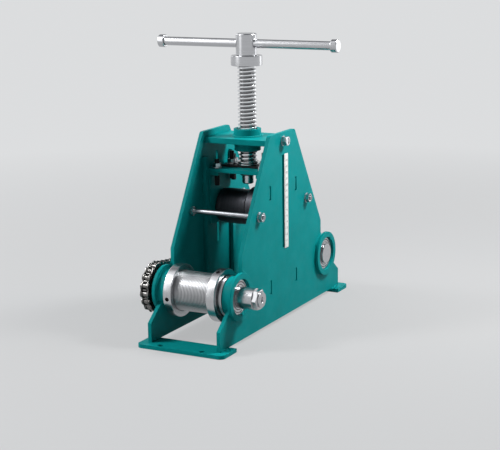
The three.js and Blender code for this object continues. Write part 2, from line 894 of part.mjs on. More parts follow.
// A bent plate: its upper flange is bolted under the carriage plate, its web carries the axle.
function cheek(side) {
  const web = outline([
    [-carriageHalfLength, cheekTopZ],
    [-carriageHalfLength, cheekBottomZ, cheekCornerRadius],
    [carriageHalfLength, cheekBottomZ, cheekCornerRadius],
    [carriageHalfLength, cheekTopZ],
  ]);
  const webSpan = spanOn(side, cheekInnerY, carriageHalfWidth);
  const flangeSpan = spanOn(side, carriageHalfWidth - cheekFlange, carriageHalfWidth - cheekThickness / 2);
  const across = [-carriageHalfLength, carriageHalfLength];
  const flangeHeights = [cheekTopZ - cheekThickness, cheekTopZ];
  const flange = block(across, flangeSpan, flangeHeights);
  const axleHole = rodProfile(axleRadius + gap, ...widened(webSpan, overrun));
  const places = clampPlaces.filter(([, y]) => Math.sign(y) === side);
  return cut(join([standingSheet(web, webSpan, cornerSides), flange]), [
    turnedAcross(axleHole, someSides, 0, rollerZ),
    ...drillsDown(places, boltRadius + gap, flangeHeights),
  ]);
}

// A threaded rod with its nut on top of a plate.
function studWithNut(x, y, bottomZ, topZ, seatZ) {
  return join([
    turnedUpright(rodProfile(boltRadius, bottomZ, topZ), fewSides, x, y),
    turnedUpright(hexagon(seatZ + gap, seatZ + gap + nutHeight), nutSides, x, y),
  ]);
}

function axle() {
  return turnedAcross([
    [0, -axleEndY],
    [axleHeadRadius, -axleEndY],
    [axleHeadRadius, -axleEndY + axleHeadWidth],
    [axleRadius, -axleEndY + axleHeadWidth],
    [axleRadius, axleEndY],
    [0, axleEndY],
  ], someSides, 0, rollerZ);
}

// Press roller

function rollerRing(profile) {
  return turnedAcross(profile, manySides, 0, rollerZ);
}

function pressRoller() {
  const bore = axleRadius + gap;
  return rollerRing([
    [bore, rollerFromY],
    [rollerLipRadius, rollerFromY],
    [rollerLipRadius, rollerFromY + rollerLipWidth],
    [rollerRadius, rollerFromY + rollerLipWidth],
    [rollerRadius, rollerToY],
    [bore, rollerToY],
    [bore, rollerFromY],
  ]);
}

function nearRollerFlange() {
  const bore = axleRadius + gap;
  const to = rollerFromY - gap;
  return rollerRing([
    [bore, nearFlangeEndY],
    [nearFlangeRadius, nearFlangeEndY],
    [nearFlangeRadius, to - nearFlangeChamfer],
    [nearFlangeRadius - nearFlangeChamfer, to],
    [bore, to],
    [bore, nearFlangeEndY],
  ]);
}

function farRollerFlange() {
  return rollerRing(ringProfile(farFlangeRadius, axleRadius + gap, rollerToY + gap, farFlangeEndY));
}

// Assembly

const frame = new THREE.Group();
for (const [name, side] of sides) {
  piece(frame, `side_plate_${name}`, sidePlate(side), paint);
  piece(frame, `bridge_bolt_${name}`, bridgeBolt(side), zinc);
}
for (const [name, end] of ends) {
  piece(frame, `foot_${name}`, foot(end), paint);
  piece(frame, `tie_rod_${name}`, tieRod(end), steel);
}
for (const [endName, end] of ends) {
  for (const [sideName, side] of sides) {
    piece(frame, `housing_${endName}_${sideName}`, housing(side, end), paint);
    piece(frame, `bearing_${endName}_${sideName}`, bearing(side, end), steel);
    piece(frame, `guide_bar_${endName}_${sideName}`, guideBar(side, end), paint);
    piece(frame, `tie_nut_${endName}_${sideName}`, tieNut(side, end), zinc);
  }
}
piece(frame, "bridge_plate", bridgePlate(), paint);
piece(frame, "screw_nut", screwNut(), paint);
piece(frame, "scale_strip", scaleStrip(), white);
piece(frame, "drive_chain", driveChain(), darkSteel);

const screw = new THREE.Group();
piece(screw, "pressure_screw", pressureScrew(), steel);
piece(screw, "retaining_clip", retainingClip(), darkSteel);
piece(screw, "thrust_bearing", thrustBearing(), darkSteel);
piece(screw, "stop_collar", stopCollar(), turnedSteel);
piece(screw, "bar_hub", barHub(), turnedSteel);

const handle = new THREE.Group();
piece(handle, "t_bar", bar(), steel);
for (const [name, side] of sides) piece(handle, `bar_cap_${name}`, barCap(side), steel);

const carriage = new THREE.Group();
piece(carriage, "carriage_plate", carriagePlate(), paint);
piece(carriage, "retainer_plate", retainerPlate(), blackSteel);
piece(carriage, "roller_axle", axle(), steel);
for (const [name, side] of sides) {
  piece(carriage, `cheek_${name}`, cheek(side), paint);
  const stud = studWithNut(0, side * studY, studBottomZ, studTopZ, retainerTopZ);
  piece(carriage, `stud_${name}`, stud, blackSteel);
}
for (const [endName, end] of ends) {
  for (const [sideName, side] of sides) {
    const bolt = studWithNut(end * clampX, side * clampY, clampBottomZ, clampTopZ, carriageTopZ);
    piece(carriage, `clamp_bolt_${endName}_${sideName}`, bolt, zinc);
  }
}

const roller = new THREE.Group();
piece(roller, "press_roller", pressRoller(), blackSteel);
piece(roller, "roller_flange_near", nearRollerFlange(), blackSteel);
piece(roller, "roller_flange_far", farRollerFlange(), blackSteel);

const shafts = ends.map(([name, end]) => {
  const group = new THREE.Group();
  piece(group, `shaft_${name}`, end < 0 ? frontShaft() : rearShaft(), steel);
  piece(group, `drum_${name}`, drum(end), steel);
  piece(group, `collar_${name}_near`, setCollar(nearCollarY, end, nearSetScrewAngle), turnedSteel);
  piece(group, `collar_${name}_far`, setCollar(farCollarY, end, farSetScrewAngle), turnedSteel);
  piece(group, `sprocket_${name}`, sprocket(end), darkSteel);
  return group;
});

const ringRoller = new THREE.Group();
ringRoller.add(frame, screw, handle, carriage, roller, ...shafts);

export default ringRoller;
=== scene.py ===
"""The ring roller as it looks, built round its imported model.

Sizes are in millimetres, as on a drawing, and each mesh is brought to metres when it is finished.
X runs along the machine, Y along the shafts and Z up the pressure screw. The drive coupling is at
the front, -X, on the near side, -Y.
"""

import logging
import math
from dataclasses import dataclass
from enum import Enum
from typing import Callable, Optional, Sequence, Union

import bmesh
import bpy
from bmesh.types import BMesh, BMFace, BMVert
from mathutils import Matrix, Vector


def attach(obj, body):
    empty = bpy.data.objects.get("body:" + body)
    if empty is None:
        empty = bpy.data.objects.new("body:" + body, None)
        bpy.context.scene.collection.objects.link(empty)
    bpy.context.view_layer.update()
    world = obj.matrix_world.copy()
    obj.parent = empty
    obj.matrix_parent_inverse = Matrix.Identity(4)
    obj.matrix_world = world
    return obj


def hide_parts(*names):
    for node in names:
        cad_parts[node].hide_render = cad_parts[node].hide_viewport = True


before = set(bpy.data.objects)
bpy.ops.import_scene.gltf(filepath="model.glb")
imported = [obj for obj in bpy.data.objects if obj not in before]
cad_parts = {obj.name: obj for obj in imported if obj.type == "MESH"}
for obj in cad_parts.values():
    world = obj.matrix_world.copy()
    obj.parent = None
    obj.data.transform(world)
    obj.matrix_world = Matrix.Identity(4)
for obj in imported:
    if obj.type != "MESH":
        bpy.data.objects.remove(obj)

LOG = logging.getLogger("ring_roller")
MILLIMETRE = 0.001
FLAT_EDGE_ANGLE = 50.0
SMOOTH_ANGLE = 28.0
LEVEL_ANGLE = 1.0
NORMAL_WEIGHT = 60
CORNER_STEPS = 8
PLANE_PLAY = 0.0001
TURNED_MERGE, CUT_MERGE, WOUND_MERGE, FLAT_MERGE = 0.0005, 0.001, 0.002, 0.01
Point = tuple[float, float]
Colour = tuple[float, float, float, float]
NOISE_SPAN: Point = (0.3, 0.7)
Value = Union[float, Colour, tuple[float, float, float], bpy.types.NodeSocket]


class Side(Enum):
    """The two side plates."""

    NEAR = -1
    FAR = 1

    @property
    def label(self) -> str:
        """The word for this side in the names of pieces."""
        return self.name.lower()


class End(Enum):
    """The two ends of the machine."""

    FRONT = -1
    REAR = 1

    @property
    def label(self) -> str:
        """The word for this end in the names of pieces."""
        return self.name.lower()


class Axis(Enum):
    """The lines that pieces are turned about."""

    ACROSS = "Y"
    UPRIGHT = "Z"

    @property
    def direction(self) -> Vector:
        """The unit vector along the line."""
        return Vector((0, 1, 0)) if self is Axis.ACROSS else Vector((0, 0, 1))

    @property
    def from_upright(self) -> Matrix:
        """The turn that lays an upright piece along this line."""
        return Matrix.Rotation(-math.pi / 2 if self is Axis.ACROSS else 0.0, 4, "X")

    def place(self, radius: float, along: float) -> Vector:
        """A point beside the line, before it is turned."""
        return Vector((radius, 0, 0)) + self.direction * along


@dataclass(frozen=True)
class Layout:
    """Places that more than one sub-assembly needs."""

    wall: float = 6.0
    clearance: float = 0.3
    plate_outer: float = 62.5
    shaft_x: float = 155.575
    shaft_z: float = 76.4
    shaft_radius: float = 15.0
    shoulder: float = 64.8
    shaft_end: float = 85.825
    roller_z: float = 181.0
    bar_z: float = 443.5
    bridge_top: float = 297.0
    carriage_top: float = 247.0
    chain_line: float = 80.75
    teeth: int = 17
    pitch_radius: float = 34.558

    @property
    def plate_inner(self) -> float:
        """The inner face of a side plate."""
        return self.plate_outer - self.wall

    @property
    def shaft_bore(self) -> float:
        """The radius of a hole that a shaft passes through."""
        return self.shaft_radius + self.clearance

    def shaft(self, end: End) -> tuple[float, float, float]:
        """The point where a shaft's line crosses the middle of the machine."""
        return (end.value * self.shaft_x, 0.0, self.shaft_z)


LAYOUT = Layout()


# Shapes


def ease_edges(mesh: BMesh, width: float, sharper_than: float = 32.0, steps: int = 2) -> BMesh:
    """Rounds every edge that is sharper than an angle.

    Args:
        mesh: The closed mesh.
        width: How far the rounding reaches from the edge.
        sharper_than: The least angle between the two faces, in degrees.
        steps: The number of faces across the rounding.

    Returns:
        The same mesh.
    """
    limit = math.radians(sharper_than)
    edges = [e for e in mesh.edges if len(e.link_faces) == 2 and e.calc_face_angle(0.0) > limit]
    bmesh.ops.bevel(
        mesh, geom=edges, offset=width, offset_type="OFFSET", segments=steps, profile=0.5,
        affect="EDGES", clamp_overlap=True, loop_slide=False, material=-1,
    )
    return mesh


def moved(mesh: BMesh, placing: Matrix) -> BMesh:
    """Moves a whole mesh and keeps its faces pointing outwards.

    Args:
        mesh: The mesh to move.
        placing: The move.

    Returns:
        The same mesh.
    """
    bmesh.ops.transform(mesh, matrix=placing, verts=mesh.verts)
    bmesh.ops.recalc_face_normals(mesh, faces=mesh.faces)
    return mesh


def together(*parts: BMesh) -> BMesh:
    """Puts several closed meshes into the first one.

    Args:
        parts: The meshes, of which all but the first are used up.

    Returns:
        The first mesh.
    """
    whole = parts[0]
    for part in parts[1:]:
        carrier = bpy.data.meshes.new("carrier")
        part.to_mesh(carrier)
        part.free()
        whole.from_mesh(carrier)
        bpy.data.meshes.remove(carrier)
    return whole


def turned(
    profile: Sequence[Point], axis: Axis, centre: Sequence[float], ease: float = 0.0, steps: int = 96,
) -> BMesh:
    """Turns a profile a full circle, as on a lathe.

    Args:
        profile: Points of radius and place along the axis. It closes on its first point, or runs
            from the axis to the axis.
        axis: The line to turn about.
        centre: Where that line passes.
        ease: The rounding of the sharp edges, or 0 for none.
        steps: The number of faces round the circle.

    Returns:
        The closed mesh.
    """
    mesh = bmesh.new()
    closed = profile[0] == profile[-1]
    points = profile[:-1] if closed else profile
    corners = [mesh.verts.new(axis.place(radius, along)) for radius, along in points]
    edges = [mesh.edges.new(pair) for pair in zip(corners, corners[1:])]
    if closed:
        edges.append(mesh.edges.new((corners[-1], corners[0])))
    bmesh.ops.spin(
        mesh, geom=corners + edges, cent=(0, 0, 0), axis=axis.direction, angle=math.tau,
        steps=steps, use_merge=True,
    )
    bmesh.ops.remove_doubles(mesh, verts=mesh.verts, dist=TURNED_MERGE)
    bmesh.ops.delete(mesh, geom=[e for e in mesh.edges if e.is_wire], context="EDGES")
    bmesh.ops.recalc_face_normals(mesh, faces=mesh.faces)
    if ease:
        ease_edges(mesh, ease)
    bmesh.ops.translate(mesh, vec=Vector(centre), verts=mesh.verts)
    return mesh


def rod(radius: float, start: float, end: float) -> list[Point]:
    """The profile of a plain rod."""
    return [(0, start), (radius, start), (radius, end), (0, end)]


def ring(outer: float, inner: float, start: float, end: float) -> list[Point]:
    """The profile of a plain ring."""
    return [(inner, start), (outer, start), (outer, end), (inner, end), (inner, start)]


def on_side(profile: Sequence[Point], side: Side) -> list[Point]:
    """A profile drawn for the far side, on the side asked for."""
    return [(radius, along * side.value) for radius, along in profile]


def threaded(
    crest: float,
    root: float,
    pitch: float,
    span: tuple[float, float],
    axis: Axis,
    centre: Sequence[float],
    crest_share: float = 0.15,
    flank_share: float = 0.35,
    steps: int = 24,
) -> BMesh:
    """Winds a right-hand thread and cuts it square at both ends.

    Args:
        crest: The radius over the thread.
        root: The radius in the thread.
        pitch: The rise of one turn.
        span: The first and last place along the axis.
        axis: The line to wind about.
        centre: Where that line passes.
        crest_share: The share of the pitch that the flat crest takes.
        flank_share: The share of the pitch that each flank takes.
        steps: The number of faces in a turn.

    Returns:
        The closed mesh.
    """
    start, end = span
    turns = math.ceil((end - start) / pitch) + 2
    shares = [0.0, flank_share, flank_share + crest_share, 2 * flank_share + crest_share, 1.0]
    mesh = bmesh.new()
    corners = [
        mesh.verts.new(axis.place(radius, start + (share - 1) * pitch))
        for radius, share in zip([root, crest, crest, root, root], shares)
    ]
    edges = [mesh.edges.new(pair) for pair in zip(corners, corners[1:])]
    bmesh.ops.spin(
        mesh, geom=corners + edges, cent=(0, 0, 0), axis=axis.direction,
        dvec=axis.direction * (pitch / steps), angle=math.tau, steps=steps,
    )
    first_turn = mesh.verts[:] + mesh.edges[:] + mesh.faces[:]
    for turn in range(1, turns):
        copy = bmesh.ops.duplicate(mesh, geom=first_turn)["geom"]
        rise = axis.direction * (pitch * turn)
        bmesh.ops.translate(mesh, vec=rise, verts=[v for v in copy if isinstance(v, BMVert)])
    bmesh.ops.remove_doubles(mesh, verts=mesh.verts, dist=WOUND_MERGE)
    for place, outward in ((start, -1), (end, 1)):
        bmesh.ops.bisect_plane(
            mesh, geom=mesh.verts[:] + mesh.edges[:] + mesh.faces[:], dist=PLANE_PLAY,
            plane_co=axis.direction * place, plane_no=axis.direction * outward, clear_outer=True,
        )
    bmesh.ops.holes_fill(mesh, edges=[e for e in mesh.edges if e.is_boundary], sides=0)
    bmesh.ops.recalc_face_normals(mesh, faces=mesh.faces)
    bmesh.ops.translate(mesh, vec=Vector(centre), verts=mesh.verts)
    return mesh


def disc(steps: int) -> tuple[BMesh, BMFace]:
    """A mesh with one round face of radius one, and that face.

    Args:
        steps: The number of corners.

    Returns:
        The mesh and its face.
    """
    mesh = bmesh.new()
    bmesh.ops.create_circle(mesh, cap_ends=True, radius=1.0, segments=steps)
    mesh.faces.ensure_lookup_table()
    return mesh, mesh.faces[0]


def raised(mesh: BMesh, face: BMFace, first: bool) -> BMFace:
    """Extrudes a face, with none left inside after the first.

    Args:
        mesh: The mesh that the face is in.
        face: The face.
        first: Whether the face stays as the bottom of the mesh.

    Returns:
        The new face.
    """
    grown = bmesh.ops.extrude_face_region(mesh, geom=[face])["geom"]
    if not first:
        bmesh.ops.delete(mesh, geom=[face], context="FACES_ONLY")
    return next(item for item in grown if isinstance(item, BMFace))


def stacked(rings: Sequence[Callable[[float], Point]], steps: int = 48) -> BMesh:
    """Extrudes a face upwards from ring to ring.

    Args:
        rings: For each ring from the seat up, a rule that gives radius and height at an angle.
        steps: The number of corners round each ring.

    Returns:
        The closed mesh, upright on the origin.
    """
    mesh, face = disc(steps)
    for index, rule in enumerate(rings):
        if index:
            face = raised(mesh, face, index == 1)
        for corner in face.verts:
            angle = math.atan2(corner.co.y, corner.co.x)
            radius, height = rule(angle)
            corner.co = Vector((radius * math.cos(angle), radius * math.sin(angle), height))
    bmesh.ops.recalc_face_normals(mesh, faces=mesh.faces)
    return mesh


@dataclass(frozen=True)
class Hexagon:
    """A hexagon whose corners are turned off to a cone, as on a nut or a bolt's head."""

    corner_radius: float
    height: float
    recess: Optional[Point] = None
    both_ends: bool = False
    cone_slope: float = 0.577
    face_share: float = 0.95

    def build(
        self, axis: Axis, seat: Sequence[float], outward: int = 1, turn: float = 0.0,
    ) -> BMesh:
        """Makes the hexagon on its seat.

        Args:
            axis: The line it stands along.
            seat: The middle of its seat.
            outward: 1 where it stands towards the high end of the axis, else -1.
            turn: How far it is turned about its own line, in degrees.

        Returns:
            The closed mesh.
        """
        flat = self.corner_radius * math.cos(math.pi / 6)
        face = flat * self.face_share

        def width(angle: float) -> float:
            """The hexagon's radius at an angle."""
            return flat / math.cos(angle % (math.pi / 3) - math.pi / 6)

        def fall(angle: float) -> float:
            """How far the cone has taken the hexagon down at an angle."""
            return (width(angle) - face) * self.cone_slope

        rings: list[Callable[[float], Point]] = [lambda a: (width(a), 0.0)]
        if self.both_ends:
            rings = [lambda a: (face, 0.0), lambda a: (width(a), fall(a))]
        rings.append(lambda a: (width(a), self.height - fall(a)))
        rings.append(lambda a: (face, self.height))
        if self.recess:
            radius, depth = self.recess
            rings.append(lambda a: (radius, self.height))
            rings.append(lambda a: (radius - depth / 2, self.height - depth))
        placing = Matrix.Translation(Vector(seat)) @ axis.from_upright
        placing = placing @ Matrix.Rotation(math.pi if outward < 0 else 0.0, 4, "X")
        return moved(stacked(rings), placing @ Matrix.Rotation(math.radians(turn), 4, "Z"))


@dataclass(frozen=True)
class Corner:
    """A corner of a flat outline, rounded where it has a radius."""

    x: float
    y: float
    radius: float = 0.0


@dataclass(frozen=True)
class Hole:
    """A round hole in a flat outline."""

    x: float
    y: float
    radius: float
    steps: int = 32


def thickened(mesh: BMesh, rise: Sequence[float]) -> BMesh:
    """Extrudes the faces of a flat mesh, and keeps them as the other side of the block.

    Args:
        mesh: The flat mesh.
        rise: How far the faces go.

    Returns:
        The same mesh, closed.
    """
    grown = bmesh.ops.extrude_face_region(mesh, geom=mesh.faces[:])["geom"]
    bmesh.ops.translate(mesh, vec=rise, verts=[v for v in grown if isinstance(v, BMVert)])
    bmesh.ops.recalc_face_normals(mesh, faces=mesh.faces)
    return mesh


def filled(mesh: BMesh) -> BMesh:
    """Fills the level outlines of a mesh, and leaves the outlines inside them open.

    Args:
        mesh: The mesh with the outlines.

    Returns:
        The same mesh.
    """
    bmesh.ops.triangle_fill(
        mesh, use_beauty=True, use_dissolve=False, edges=mesh.edges[:], normal=(0, 0, 1),
    )
    return mesh


def sheet(
    corners: Sequence[Corner], span: Point, holes: Sequence[Hole] = (), ease: float = 0.0,
) -> BMesh:
    """Cuts a flat piece from sheet, lying level.

    Args:
        corners: The outline, in order.
        span: Its lowest and highest face.
        holes: The round holes through it.
        ease: The rounding of its edges, or 0 for none.

    Returns:
        The closed mesh.
    """
    mesh = bmesh.new()
    points = [mesh.verts.new((corner.x, corner.y, span[0])) for corner in corners]
    mesh.faces.new(points)
    for index, corner in enumerate(corners):
        if corner.radius:
            here = points[index].co
            others = [corners[index - 1], corners[(index + 1) % len(corners)]]
            arms = [Vector((other.x, other.y, span[0])) - here for other in others]
            reach = corner.radius / math.tan(arms[0].angle(arms[1]) / 2)
            bmesh.ops.bevel(
                mesh, geom=[points[index]], offset=reach, offset_type="OFFSET", segments=CORNER_STEPS,
                profile=0.5, affect="VERTICES", clamp_overlap=False, material=-1,
            )
    bmesh.ops.delete(mesh, geom=mesh.faces[:], context="FACES_ONLY")
    for hole in holes:
        bmesh.ops.create_circle(
            mesh, cap_ends=False, radius=hole.radius, segments=hole.steps,
            matrix=Matrix.Translation((hole.x, hole.y, span[0])),
        )
    thickened(filled(mesh), (0, 0, span[1] - span[0]))
    return ease_edges(mesh, ease, FLAT_EDGE_ANGLE) if ease else mesh


def box(x: Sequence[float], y: Sequence[float], z: Sequence[float], ease: float = 0.0) -> BMesh:
    """A block between three pairs of places, with its edges eased.

    Args:
        x: Both ends along X.
        y: Both ends along Y.
        z: Both ends along Z.
        ease: The rounding of its edges, or 0 for none.

    Returns:
        The closed mesh.
    """
    mesh = bmesh.new()
    middle = Vector((sum(x) / 2, sum(y) / 2, sum(z) / 2))
    size = Matrix.Diagonal((abs(x[1] - x[0]), abs(y[1] - y[0]), abs(z[1] - z[0]), 1))
    bmesh.ops.create_cube(mesh, size=1.0, matrix=Matrix.Translation(middle) @ size)
    return ease_edges(mesh, ease) if ease else mesh


def bead(
    path: Sequence[Vector],
    radius: float,
    ripple: float = 0.11,
    tip: float = 0.45,
    growth: float = 0.2,
    steps: int = 10,
) -> BMesh:
    """Lays a rippled weld bead along a path.

    Args:
        path: Points a quarter of a ripple apart.
        radius: The bead's mean radius.
        ripple: The height of a ripple, as a share of the radius.
        tip: The share of the radius at both ends of the bead.
        growth: The share that the radius gains from point to point behind a tip.
        steps: The number of faces round the bead.

    Returns:
        The closed mesh.
    """
    mesh, face = disc(steps)
    before = Matrix.Identity(4)
    for index, point in enumerate(path):
        ahead = path[min(index + 1, len(path) - 1)] - path[max(index - 1, 0)]
        taper = min(1.0, tip + growth * min(index, len(path) - 1 - index))
        size = radius * taper * (1 + ripple * math.sin(index * math.pi / 2))
        now = Matrix.Translation(point) @ ahead.to_track_quat("Z", "Y").to_matrix().to_4x4()
        now = now @ Matrix.Diagonal((size, size, size, 1))
        if index:
            face = raised(mesh, face, index == 1)
        step = now @ before.inverted()
        bmesh.ops.transform(mesh, matrix=step, verts=face.verts)
        before = now
    bmesh.ops.recalc_face_normals(mesh, faces=mesh.faces)
    return mesh


def arc(centre: Vector, radius: float, angles: Point, spacing: float, upright: bool) -> list[Vector]:
    """Points on an arc.

    Args:
        centre: The middle of the arc.
        radius: Its radius.
        angles: Its first and last angle, in degrees.
        spacing: About how far apart the points are.
        upright: Whether it stands in X and Z, or else lies level in X and Y.

    Returns:
        The points in order.
    """
    start, end = (math.radians(angle) for angle in angles)
    count = max(4, round(abs(end - start) * radius / spacing))
    points = []
    for index in range(count + 1):
        angle = start + (end - start) * index / count
        across, other = radius * math.cos(angle), radius * math.sin(angle)
        points.append(centre + Vector((across, 0, other) if upright else (across, other, 0)))
    return points


def drilled(mesh: BMesh, *drills: BMesh) -> BMesh:
    """Takes every drill's shape out of a closed mesh.

    Args:
        mesh: The mesh to drill, which is used up.
        drills: The shapes to take out, which are used up.

    Returns:
        The drilled mesh.
    """
    bodies = []
    for part in (mesh, together(*drills)):
        carrier = bpy.data.meshes.new("carrier")
        part.to_mesh(carrier)
        part.free()
        body = bpy.data.objects.new("carrier", carrier)
        bpy.context.scene.collection.objects.link(body)
        bodies.append(body)
    work, tool = bodies
    cut = work.modifiers.new("cut", "BOOLEAN")
    cut.operation, cut.object, cut.solver = "DIFFERENCE", tool, "EXACT"
    graph = bpy.context.evaluated_depsgraph_get()
    result = bpy.data.meshes.new_from_object(work.evaluated_get(graph))
    rest = bmesh.new()
    rest.from_mesh(result)
    for body in bodies:
        shape = body.data
        bpy.data.objects.remove(body)
        bpy.data.meshes.remove(shape)
    bpy.data.meshes.remove(result)
    bmesh.ops.remove_doubles(rest, verts=rest.verts, dist=CUT_MERGE)
    return rest


def from_node(node: str, ease: float) -> BMesh:
    """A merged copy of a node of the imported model, in millimetres, with its edges eased.

    Args:
        node: The node's name.
        ease: The rounding of its edges.

    Returns:
        The closed mesh.
    """
    mesh = bmesh.new()
    mesh.from_mesh(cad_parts[node].data)
    bmesh.ops.scale(mesh, vec=(1 / MILLIMETRE,) * 3, verts=mesh.verts)
    bmesh.ops.remove_doubles(mesh, verts=mesh.verts, dist=FLAT_MERGE)
    bmesh.ops.dissolve_limit(
        mesh, angle_limit=math.radians(LEVEL_ANGLE), use_dissolve_boundaries=False,
        verts=mesh.verts, edges=mesh.edges,
    )
    return ease_edges(mesh, ease, FLAT_EDGE_ANGLE)


# Finishes


class Shader:
    """A node material while it is put together."""

    def __init__(self, name: str, **sockets: Value) -> None:
        """Starts a material with constants on its surface.

        Args:
            name: The material's name.
            sockets: Values for the surface's sockets, with _ for each space.
        """
        self.material = bpy.data.materials.new(name)
        self.material.use_nodes = True
        self.tree = self.material.node_tree
        self.surface = self.tree.nodes["Principled BSDF"]
        for socket, value in sockets.items():
            self.surface.inputs[socket.replace("_", " ")].default_value = value

    def add(
        self, kind: str, inputs: dict[Union[str, int], Value], **settings: str,
    ) -> bpy.types.Node:
        """Adds a node.

        Args:
            kind: The node's type, without the leading ShaderNode.
            inputs: Sockets to link or values to set, by input.
            settings: The node's own settings.

        Returns:
            The node.
        """
        node = self.tree.nodes.new("ShaderNode" + kind)
        for setting, value in settings.items():
            setattr(node, setting, value)
        for socket, value in inputs.items():
            if isinstance(value, bpy.types.NodeSocket):
                self.tree.links.new(value, node.inputs[socket])
            else:
                node.inputs[socket].default_value = value
        return node

    @property
    def place(self) -> bpy.types.NodeSocket:
        """The point on the piece, in metres."""
        return self.add("TexCoord", {}).outputs["Object"]

    def round_place(self, axis: Axis, centre: Sequence[float]) -> bpy.types.NodeSocket:
        """The point as its radius about a line and its place along it.

        Args:
            axis: The line's direction.
            centre: Where the line passes, in millimetres.

        Returns:
            A vector of radius, place and zero, in metres.
        """
        back = tuple(-value * MILLIMETRE for value in centre)
        own = self.add("Mapping", {"Vector": self.place, "Location": back})
        parts = self.add("SeparateXYZ", {"Vector": own.outputs["Vector"]})
        lying = axis is Axis.ACROSS
        other, along = ("Z", "Y") if lying else ("Y", "Z")
        flat = self.add("CombineXYZ", {"X": parts.outputs["X"], "Y": parts.outputs[other]})
        reach = self.add("VectorMath", {0: flat.outputs["Vector"]}, operation="LENGTH")
        pair = {"X": reach.outputs["Value"], "Y": parts.outputs[along]}
        return self.add("CombineXYZ", pair).outputs["Vector"]

    def noise(
        self, vector: bpy.types.NodeSocket, scale: float, detail: float = 3.0,
    ) -> bpy.types.NodeSocket:
        """Adds a noise pattern and returns its strength."""
        inputs = {"Vector": vector, "Scale": scale, "Detail": detail}
        return self.add("TexNoise", inputs).outputs["Fac"]

    def spread(
        self, pattern: bpy.types.NodeSocket, low: Colour, high: Colour, span: Point = NOISE_SPAN,
    ) -> bpy.types.NodeSocket:
        """Spreads a pattern between two colours.

        Args:
            pattern: The pattern.
            low: The colour at its low end.
            high: The colour at its high end.
            span: Where the two ends are.

        Returns:
            The colour.
        """
        ramp = self.add("ValToRGB", {"Fac": pattern})
        for stop, place, colour in zip(ramp.color_ramp.elements, span, (low, high)):
            stop.position, stop.color = place, colour
        return ramp.outputs["Color"]

    def levels(
        self, pattern: bpy.types.NodeSocket, low: float, high: float, span: Point = NOISE_SPAN,
    ) -> bpy.types.NodeSocket:
        """Spreads a pattern between two numbers and returns the number."""
        limits = {"From Min": span[0], "From Max": span[1], "To Min": low, "To Max": high}
        return self.add("MapRange", {"Value": pattern, **limits}).outputs["Result"]

    def relief(self, pattern: bpy.types.NodeSocket, depth: float, strength: float) -> None:
        """Raises the surface by a pattern, to a depth in metres."""
        bump = self.add("Bump", {"Height": pattern, "Distance": depth, "Strength": strength})
        self.into("Normal", bump.outputs["Normal"])

    def into(self, socket: str, value: bpy.types.NodeSocket) -> None:
        """Links a value into the surface."""
        self.tree.links.new(value, self.surface.inputs[socket])


@dataclass(frozen=True)
class Paint:
    """Satin powder coat over welded plate, with a fine orange peel."""

    name: str = "paint"
    gloss: float = 0.03
    low: Colour = (0.002, 0.225, 0.228, 1)
    high: Colour = (0.003, 0.255, 0.259, 1)
    cloud_scale: float = 28.0
    sheen_scale: float = 90.0
    smooth: float = 0.36
    rough: float = 0.48
    peel_scale: float = 620.0
    peel_detail: float = 1.5
    peel_depth: float = 0.00025
    relief: float = 0.2

    def material(self) -> bpy.types.Material:
        """Builds the material.

        Returns:
            The material.
        """
        shader = Shader(self.name, Specular_IOR_Level=self.gloss)
        cloud = shader.noise(shader.place, self.cloud_scale)
        shader.into("Base Color", shader.spread(cloud, self.low, self.high))
        sheen = shader.noise(shader.place, self.sheen_scale)
        shader.into("Roughness", shader.levels(sheen, self.smooth, self.rough))
        peel = shader.noise(shader.place, self.peel_scale, self.peel_detail)
        shader.relief(peel, self.peel_depth, self.relief)
        return shader.material


@dataclass(frozen=True)
class TurnedSteel:
    """Steel off the lathe, with rings about the piece's own line."""

    name: str
    axis: Axis
    centre: tuple[float, float, float]
    low: Colour = (0.5, 0.505, 0.52, 1)
    high: Colour = (0.54, 0.545, 0.56, 1)
    smooth: float = 0.22
    rough: float = 0.27
    ring_scale: float = 3000.0
    ring_detail: float = 4.0
    rings_in_band: float = 7.0
    band_detail: float = 2.0
    ring_depth: float = 0.00006
    relief: float = 0.04
    # Painted shade: the radii over which the colour darkens towards a groove's root, and the share of it
    # left there.
    groove: Optional[Point] = None
    painted_groove_shade: float = 0.5

    def material(self) -> bpy.types.Material:
        """Builds the material, with painted shade that darkens it towards the bottom of a groove where
        it has one.

        Returns:
            The material.
        """
        shader = Shader(self.name, Metallic=1.0)
        place = shader.round_place(self.axis, self.centre)
        rings = shader.noise(place, self.ring_scale, self.ring_detail)
        bands = shader.noise(place, self.ring_scale / self.rings_in_band, self.band_detail)
        colour = shader.spread(bands, self.low, self.high)
        # Painted shade: the colour is scaled down towards the groove's root radius, where shade falls.
        if self.groove:
            reach = shader.add("SeparateXYZ", {"Vector": place}).outputs["X"]
            span = tuple(radius * MILLIMETRE for radius in self.groove)
            shade = shader.levels(reach, self.painted_groove_shade, 1.0, span)
            scaled = shader.add("VectorMath", {0: colour, "Scale": shade}, operation="SCALE")
            colour = scaled.outputs["Vector"]
        shader.into("Base Color", colour)
        shader.into("Roughness", shader.levels(rings, self.smooth, self.rough))
        shader.relief(rings, self.ring_depth, self.relief)
        return shader.material


@dataclass(frozen=True)
class PlainMetal:
    """Metal with no one line: plated fasteners, oiled chain or blackened plate."""

    name: str
    low: Colour
    high: Colour
    smooth: float
    rough: float
    cloud_scale: float = 90.0
    grain_scale: float = 900.0
    grain_depth: float = 0.00008
    metallic: float = 1.0
    relief: float = 0.03

    def material(self) -> bpy.types.Material:
        """Builds the material.

        Returns:
            The material.
        """
        shader = Shader(self.name, Metallic=self.metallic)
        cloud = shader.noise(shader.place, self.cloud_scale)
        grain = shader.noise(shader.place, self.grain_scale)
        shader.into("Base Color", shader.spread(cloud, self.low, self.high))
        shader.into("Roughness", shader.levels(cloud, self.smooth, self.rough))
        shader.relief(grain, self.grain_depth, self.relief)
        return shader.material


